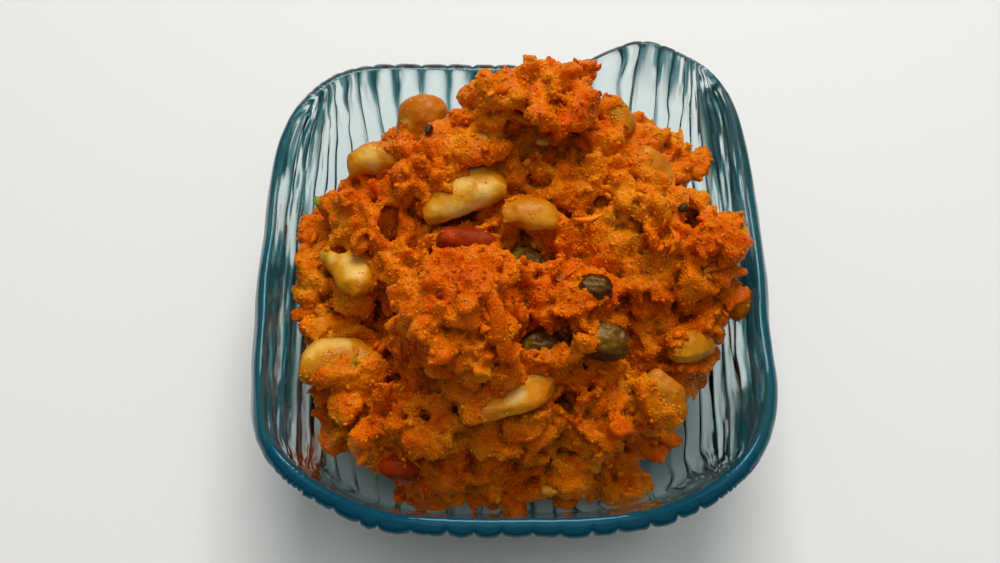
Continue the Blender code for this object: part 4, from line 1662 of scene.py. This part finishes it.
@dataclass
class Grains(Scatter):
    """Grains and crumbs: balls of few faces with each point pushed in or out at random."""

    low: float = 0.35
    high: float = 0.8
    out: float = 0.2
    rings: int = 3
    sides: int = 6

    def build(self, skin: Skin, dish: Dish, material: bpy.types.Material) -> bpy.types.Object:
        """Builds the grains, each its own size, squashed and turned at random.

        Args:
            skin: The heap's surface.
            dish: The dish.
            material: The finish.

        Returns:
            The piece.
        """
        rng, places, normals, depth = self.spots(skin, dish, self.high)
        _, _, faces, ball = ball_surface(self.rings, self.sides)
        count = len(places)
        size = self.low + (self.high - self.low) * rng.random(count) ** 2.0
        stretch = np.stack([np.ones(count), rng.uniform(0.6, 1.0, count), rng.uniform(0.45, 0.85, count)], 1)
        jitter = 1.0 + rng.uniform(-0.25, 0.25, (count, len(ball)))
        local = ball[None] * jitter[..., None] * (stretch * size[:, None])[:, None]
        centre = places + normals * (size * self.out * rng.uniform(-0.5, 1.0, count))[:, None]
        points = posed(local, random_frames(rng, normals, 0.8), centre)
        return self.place(points, faces, rng.uniform(-0.22, 0.22, count), depth, material)


@dataclass
class NutGrains(Scatter):
    """Grains of the sweet that cling to the nuts, thick in patches and thin between them."""

    low: float = 0.14
    high: float = 0.38
    # Grains for each square millimetre where they lie thickest
    density: float = 4.5

    def build(self, material: bpy.types.Material) -> bpy.types.Object:
        """Builds the grains of all the nuts as one joined mesh.

        Args:
            material: The finish.

        Returns:
            The piece.
        """
        rng = np.random.default_rng(SEED + self.seed)
        _, _, faces, ball = ball_surface(2, 5)
        made = []
        for nut in self.nuts:
            points, triangles, _, _ = nut.surface()
            corners, area, facing = triangle_shapes(points, triangles)
            middles = corners.mean(axis=1)
            patch = lattice_noise(middles + sum(map(ord, nut.node)), 3.2, SEED + 71)
            side = (middles[:, :2] / np.array([nut.length, nut.width]) * 2.0) @ np.array(nut.coat_from)
            wish = smoothstep(0.8 * patch + 1.1 * nut.coat * (1.0 + side) - 0.5, 0.0, 0.5) + 0.01
            weight = area * wish * (facing[:, 2] > -0.3)
            count = int(self.density * weight.sum())
            chosen, places = spread(rng, corners, weight, count)
            size = self.low + (self.high - self.low) * rng.random(count) ** 1.5
            jitter = 1.0 + rng.uniform(-0.2, 0.2, (count, len(ball)))
            local = ball[None] * jitter[..., None] * size[:, None, None] * np.array([1.0, 0.85, 0.6])
            bits = posed(local, random_frames(rng, facing[chosen], 0.4), places)
            made.append(nut.placed(bits.reshape(-1, 3)).reshape(bits.shape))
        points = np.concatenate(made)
        count = len(points)
        return self.place(points, faces, rng.uniform(-0.1, 0.4, count), np.zeros(count), material)


@dataclass
class Shreds(Scatter):
    """Grated shreds: an uneven section carried along a bent, twisted path, tapering to torn ends."""

    length: tuple[float, float] = (4.0, 8.5)
    width: tuple[float, float] = (1.3, 2.4)
    flat: tuple[float, float] = (0.35, 0.6)
    stations: int = 7
    sides: int = 6
    tilt: float = 0.35

    def faces(self) -> np.ndarray:
        """Triangles of one shred: bands between its sections and a fan on each end.

        Returns:
            Point numbers, one row for each triangle.
        """
        ring = np.arange(self.sides)
        bands = [Dish.band(ring + k * self.sides, ring + (k + 1) * self.sides) for k in range(self.stations - 1)]
        last = (self.stations - 1) * self.sides
        inner = np.arange(1, self.sides - 1)
        near = np.stack([np.zeros_like(inner), inner + 1, inner], 1)
        far = np.stack([np.zeros_like(inner), inner, inner + 1], 1) + last
        return np.concatenate(bands + [near, far])

    def build(self, skin: Skin, dish: Dish, material: bpy.types.Material) -> bpy.types.Object:
        """Builds the shreds.

        Along the path u runs from -1 to 1. The path is straight in u with a parabola sideways and
        downwards, the section turns with u, and its size falls as 1 - |u|³ towards the ends.

        Args:
            skin: The heap's surface.
            dish: The dish.
            material: The finish.

        Returns:
            The piece.
        """
        rng, places, normals, depth = self.spots(skin, dish, self.width[1])
        count = len(places)

        def draw(low: float, high: float) -> np.ndarray:
            """A random value for each shred."""
            return rng.uniform(low, high, count)[:, None, None]

        u = np.linspace(-1.0, 1.0, self.stations)[None, :, None]
        angle = (np.arange(self.sides) * math.tau / self.sides)[None, None, :]
        length, width = draw(*self.length), draw(*self.width)
        thick = width * draw(*self.flat)
        taper = 1.0 - 0.72 * np.abs(u) ** 3.0
        rough = 1.0 + rng.uniform(-0.2, 0.2, (count, self.stations, self.sides))
        across = np.cos(angle) * width / 2.0 * taper * rough
        over = np.sin(angle) * thick / 2.0 * taper * rough
        spin = draw(-0.9, 0.9) * u
        y = across * np.cos(spin) - over * np.sin(spin) + draw(-0.22, 0.22) * length * u * u
        z = across * np.sin(spin) + over * np.cos(spin) - draw(-0.05, 0.16) * length * u * u
        x = u * length / 2.0 + 0.25 * rng.uniform(-1.0, 1.0, (count, self.stations, self.sides))
        local = np.stack([x, y, z], -1).reshape(count, -1, 3)
        centre = places + normals * rng.uniform(0.0, 0.55, count)[:, None]
        points = posed(local, random_frames(rng, normals, self.tilt), centre)
        above = points[..., 2] - dish.inside_height(points[..., 0], points[..., 1])
        clear = (above > 0.2).all(axis=1)
        return self.place(points[clear], self.faces(), rng.uniform(-0.3, 0.2, clear.sum()), depth[clear], material)


@dataclass
class Morsel:
    """A small thing on the heap: a ball whose coordinates are raised to a power, stretched and bent.

    A power below 1 makes a rounded box, and place is where the line of sight to it passes.
    """

    name: str
    place: tuple[float, float, float]
    size: tuple[float, float, float]
    turn: tuple[float, float, float]
    power: float = 1.0
    out: float = 0.0
    bend: float = 0.0
    stain: float = 0.3

    def build(self, skin: Skin, eye: np.ndarray, material: bpy.types.Material) -> bpy.types.Object:
        """Builds the morsel where the line of sight meets the heap.

        Args:
            skin: The heap's surface.
            eye: The eye that the line of sight starts from.
            material: The finish.

        Returns:
            The piece.
        """
        _, _, faces, ball = ball_surface(22, 26)
        number = sum(map(ord, self.name))
        halves = np.array(self.size) / 2.0
        local = np.sign(ball) * np.abs(ball) ** self.power * halves
        local[:, 2] -= self.bend * (local[:, 0] / halves[0]) ** 2
        lump = 0.24 * lattice_noise(local, 1.5, number) + 0.12 * lattice_noise(local, 0.7, number + 1)
        local *= 1.0 + lump[:, None] * min(1.0, 1.5 / halves[2])
        spot, normal = skin.seen(eye, np.array(self.place))
        points = local @ turning(*self.turn).T + spot + normal * self.out
        stain = np.clip(self.stain + 0.4 * lattice_noise(local, 1.5, number + 2), 0.0, 1.0)
        tones = {"stain": stain, "tint": 0.2 + 0.6 * stain, "crevice_shade": 0.0 * stain}
        piece = mesh_piece(self.name, points, faces, material, tones)
        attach(piece, BODY)
        return piece


def morsels_of_photo(
    mash: bpy.types.Material, cashew: bpy.types.Material, carrot_flesh: bpy.types.Material
) -> list[tuple[Morsel, bpy.types.Material]]:
    """The seeds and small pieces that stand out on the heap, each with its finish.

    Args:
        mash: Finish of pieces of carrot that have cooked down like the sweet.
        cashew: Finish of crumbs of cashew.
        carrot_flesh: Finish of a whole piece of carrot.

    Returns:
        Pairs of a small piece and its finish.
    """
    seed = CookedNut("cardamom_seed_dark", "#3c2a12", "#2c1a08", "#1c0e04", 0.45, 0.1, 0.1).material()
    pistachio = CookedNut("pistachio_green", "#8d9a2c", "#7a861c", "#8a6a10", 0.4, 0.3, 0.1).material()
    return [
        (Morsel("seed_rear", (-19.5, 37.5, 48.0), (2.9, 2.0, 1.8), (70, 0, 0), out=0.6), seed),
        (Morsel("seed_right", (40.5, 12.0, 50.0), (2.6, 1.9, 1.6), (30, 0, 0), out=0.5), seed),
        (Morsel("pistachio_sliver", (-48.0, 23.0, 38.0), (3.2, 1.7, 1.3), (100, 0, 0), out=0.3), pistachio),
        (Morsel("carrot_cube", (24.0, -37.0, 38.0), (4.6, 4.2, 3.6), (25, 10, 15), 0.55, 0.2), mash),
        (
            Morsel("carrot_piece_low", (-28.6, -39.0, 18.0), (9.0, 5.0, 4.0), (-12, 0, 0), 0.7, -0.6, stain=1.0),
            carrot_flesh,
        ),
        (Morsel("carrot_lump_right", (33.0, -37.9, 22.0), (6.0, 4.6, 3.6), (-30, 0, 0), 0.8, 0.0), mash),
        (Morsel("cashew_bit_low", (7.6, -45.0, 18.0), (4.5, 2.6, 2.4), (5, 0, 0), 0.8, 0.3), cashew),
        (Morsel("cashew_bit_rear", (7.2, 25.9, 58.0), (3.2, 2.2, 1.8), (20, 0, 0), 0.8, 0.3), cashew),
        (Morsel("carrot_strip_centre", (-2.9, -20.1, 56.0), (15.0, 3.8, 1.5), (-72, -35, 20), 0.6, 0.0, 1.2), mash),
        (Morsel("carrot_wedge_left", (-49.3, -4.9, 34.0), (9.0, 4.0, 2.0), (38, 8, 0), 0.7, 0.1, 0.8), mash),
        (Morsel("carrot_flake_right", (53.1, -5.5, 38.0), (7.0, 4.0, 2.0), (35, 10, 0), 0.7, 0.1, 0.6), mash),
        (Morsel("carrot_slice_rear", (33.2, 32.5, 50.0), (7.0, 4.0, 1.8), (-55, 20, 0), 0.6, 0.0, 0.8), mash),
    ]


# Studio


@dataclass
class Studio:
    """Camera, floor and soft light: a phone held over the front of the dish on a white table."""

    elevation: float = math.radians(62.0)
    azimuth: float = math.radians(-0.7)
    distance: float = 0.292
    target: tuple[float, float, float] = (-0.0029, -0.0020, 0.042)
    focal_px: float = 1250.0
    frame_px: float = 1000.0
    window: float = 20.0
    ceiling: float = 1.9
    room: float = 0.4
    # The table top: half its width, and how far it lies below the foot, so that the two never meet
    table_reach: float = 900.0
    table_drop: float = 0.03

    def eye(self) -> Vector:
        """Finds where the camera is.

        Returns:
            The place, in metres.
        """
        flat = math.cos(self.elevation)
        way = (math.sin(self.azimuth) * flat, -math.cos(self.azimuth) * flat, math.sin(self.elevation))
        return Vector(self.target) + Vector(way) * self.distance

    def camera(self) -> None:
        """Makes the camera at the photo's angle."""
        data = bpy.data.cameras.new("camera")
        data.sensor_width = 36.0
        data.lens = data.sensor_width * self.focal_px / self.frame_px
        data.clip_start = 0.01
        made = bpy.data.objects.new("camera", data)
        made.location = self.eye()
        made.rotation_mode = "QUATERNION"
        made.rotation_quaternion = (Vector(self.target) - self.eye()).to_track_quat("-Z", "Y")
        bpy.context.scene.collection.objects.link(made)
        bpy.context.scene.camera = made

    def lamp(self, name: str, place: tuple[float, float, float], size: float, power: float, colour: str) -> None:
        """Makes a square area lamp that shines at the target.

        Args:
            name: The lamp's name.
            place: Where it hangs, in metres.
            size: Its side, in metres.
            power: Its power, in watts.
            colour: Its colour.
        """
        data = bpy.data.lights.new(name, "AREA")
        data.size = size
        data.energy = power
        data.color = linear(colour)[:3]
        made = bpy.data.objects.new(name, data)
        made.location = place
        aim = Vector(self.target) - made.location
        made.rotation_mode = "QUATERNION"
        made.rotation_quaternion = aim.to_track_quat("-Z", "Y")
        bpy.context.scene.collection.objects.link(made)

    def light(self) -> None:
        """Makes the soft window light from above and behind, and the room's fill."""
        self.lamp("window", (0.1, 0.85, 1.25), 0.85, self.window, "#fffefc")
        self.lamp("ceiling", (0.15, -0.1, 1.3), 0.9, self.ceiling, "#fffdfb")
        world = bpy.data.worlds.new("room")
        world.use_nodes = True
        tree = world.node_tree
        back = tree.nodes["Background"]
        way = add_node(tree, "TexCoord").outputs["Generated"]
        height = add_node(tree, "SeparateXYZ", _0=way).outputs["Z"]
        shade = ramp(tree, height, ((0.0, "#3a3c3e"), (0.18, "#6f7173"), (0.6, "#e2e2e0"), (1.0, "#ffffff")))
        tree.links.new(shade, back.inputs["Color"])
        back.inputs["Strength"].default_value = self.room
        bpy.context.scene.world = world

    def floor(self) -> None:
        """Makes the table top, a flat sheet far larger than the view, a hair below the foot."""
        s, t = Dish.sheet(2, 2)
        points = np.stack([s * self.table_reach, t * self.table_reach, np.full_like(s, -self.table_drop)], -1)
        table = mesh_piece("table", points.reshape(-1, 3), Dish.sheet_faces(2, 2), WhiteTable().material())

    def build(self) -> None:
        """Builds the studio."""
        self.camera()
        self.light()
        self.floor()
        bpy.context.scene.view_settings.view_transform = "Standard"


# Colours from red-orange to yellow-orange: of the carrot, and of the milk solids that it stains
CARROT_STOPS = ((0.0, "#d04800"), (0.3, "#da5e00"), (0.6, "#e27402"), (1.0, "#ea9212"))
MILK_STOPS = ((0.0, "#dc6c02"), (0.5, "#e4840a"), (1.0, "#eca228"))


def main() -> None:
    """Builds every piece in order and reports each."""
    logging.basicConfig(level=logging.INFO, format="%(message)s")
    began = time.time()

    def report(piece: bpy.types.Object) -> None:
        """Logs a piece's name, its triangles and the time so far.

        Args:
            piece: The piece.
        """
        piece.data.calc_loop_triangles()
        log.info("%s: %d triangles, %.0f s", piece.name, len(piece.data.loop_triangles), time.time() - began)

    studio = Studio()
    studio.build()
    dish = Dish()
    report(dish.build(PressedGlass().material()))
    nuts = nuts_of_photo()
    cashew = CookedNut("cashew_simmered_waxy", "#e0b258", "#d08c08", "#c07000").material()
    almond = CookedNut("almond_blanched_waxy", "#d8aa58", "#ca860e", "#bc6800").material()
    raisin = CookedNut("raisin_green_plumped", "#857010", "#664206", "#441c04", 0.36, 0.3, 0.1).material()
    flesh = ("#c24400", "#a83200", "#862000", 0.5, 0.3, 0.02, "#ff9a50")
    carrot_flesh = CookedNut("carrot_cooked_slice", *flesh).material()
    dress = {
        Kind.CASHEW: (cashew, "cashew"),
        Kind.ALMOND: (almond, "almond"),
        Kind.RAISIN: (raisin, "raisin"),
        Kind.CARROT: (carrot_flesh, "carrot"),
    }
    for nut in nuts:
        report(nut.build(*dress[nut.kind]))
    mash = CookedCarrot("carrot_cooked_down_moist", CARROT_STOPS).material()
    # Grains sit half in the mash, where light that soaks into them would be lost
    crumb = CookedCarrot("carrot_crumb_moist", CARROT_STOPS, grain_depth_mm=0.12, soak=0.0).material()
    milk = CookedCarrot("milk_solids_stained", MILK_STOPS, grain_depth_mm=0.08, soak=0.0).material()
    body, skin = Heap().build(dish, nuts, mash)
    report(body)
    # Raisins stay bare
    coated = [nut for nut in nuts if nut.kind is not Kind.RAISIN]
    report(NutGrains("nut_grains", 0, 56, coated).build(milk))
    eye = np.array(studio.eye()) / MM
    for morsel, finish in morsels_of_photo(mash, cashew, carrot_flesh):
        report(morsel.build(skin, eye, finish))
    report(Grains("carrot_crumbs", 2200, 51, nuts, low=0.4, high=0.8).build(skin, dish, crumb))
    report(Grains("carrot_grains", 9800, 55, nuts, low=0.22, high=0.5, rings=2, sides=5).build(skin, dish, crumb))
    report(Grains("milk_grains", 9800, 52, nuts, low=0.18, high=0.42, rings=2, sides=5).build(skin, dish, milk))
    report(Shreds("carrot_shreds", 24, 53, nuts, keep_off=2.5, tilt=0.4).build(skin, dish, crumb))
    flakes = Shreds("carrot_flakes", 240, 54, nuts, length=(1.8, 3.8), width=(1.2, 2.4), stations=4, tilt=0.8)
    report(flakes.build(skin, dish, crumb))


if __name__ == "__main__":
    main()
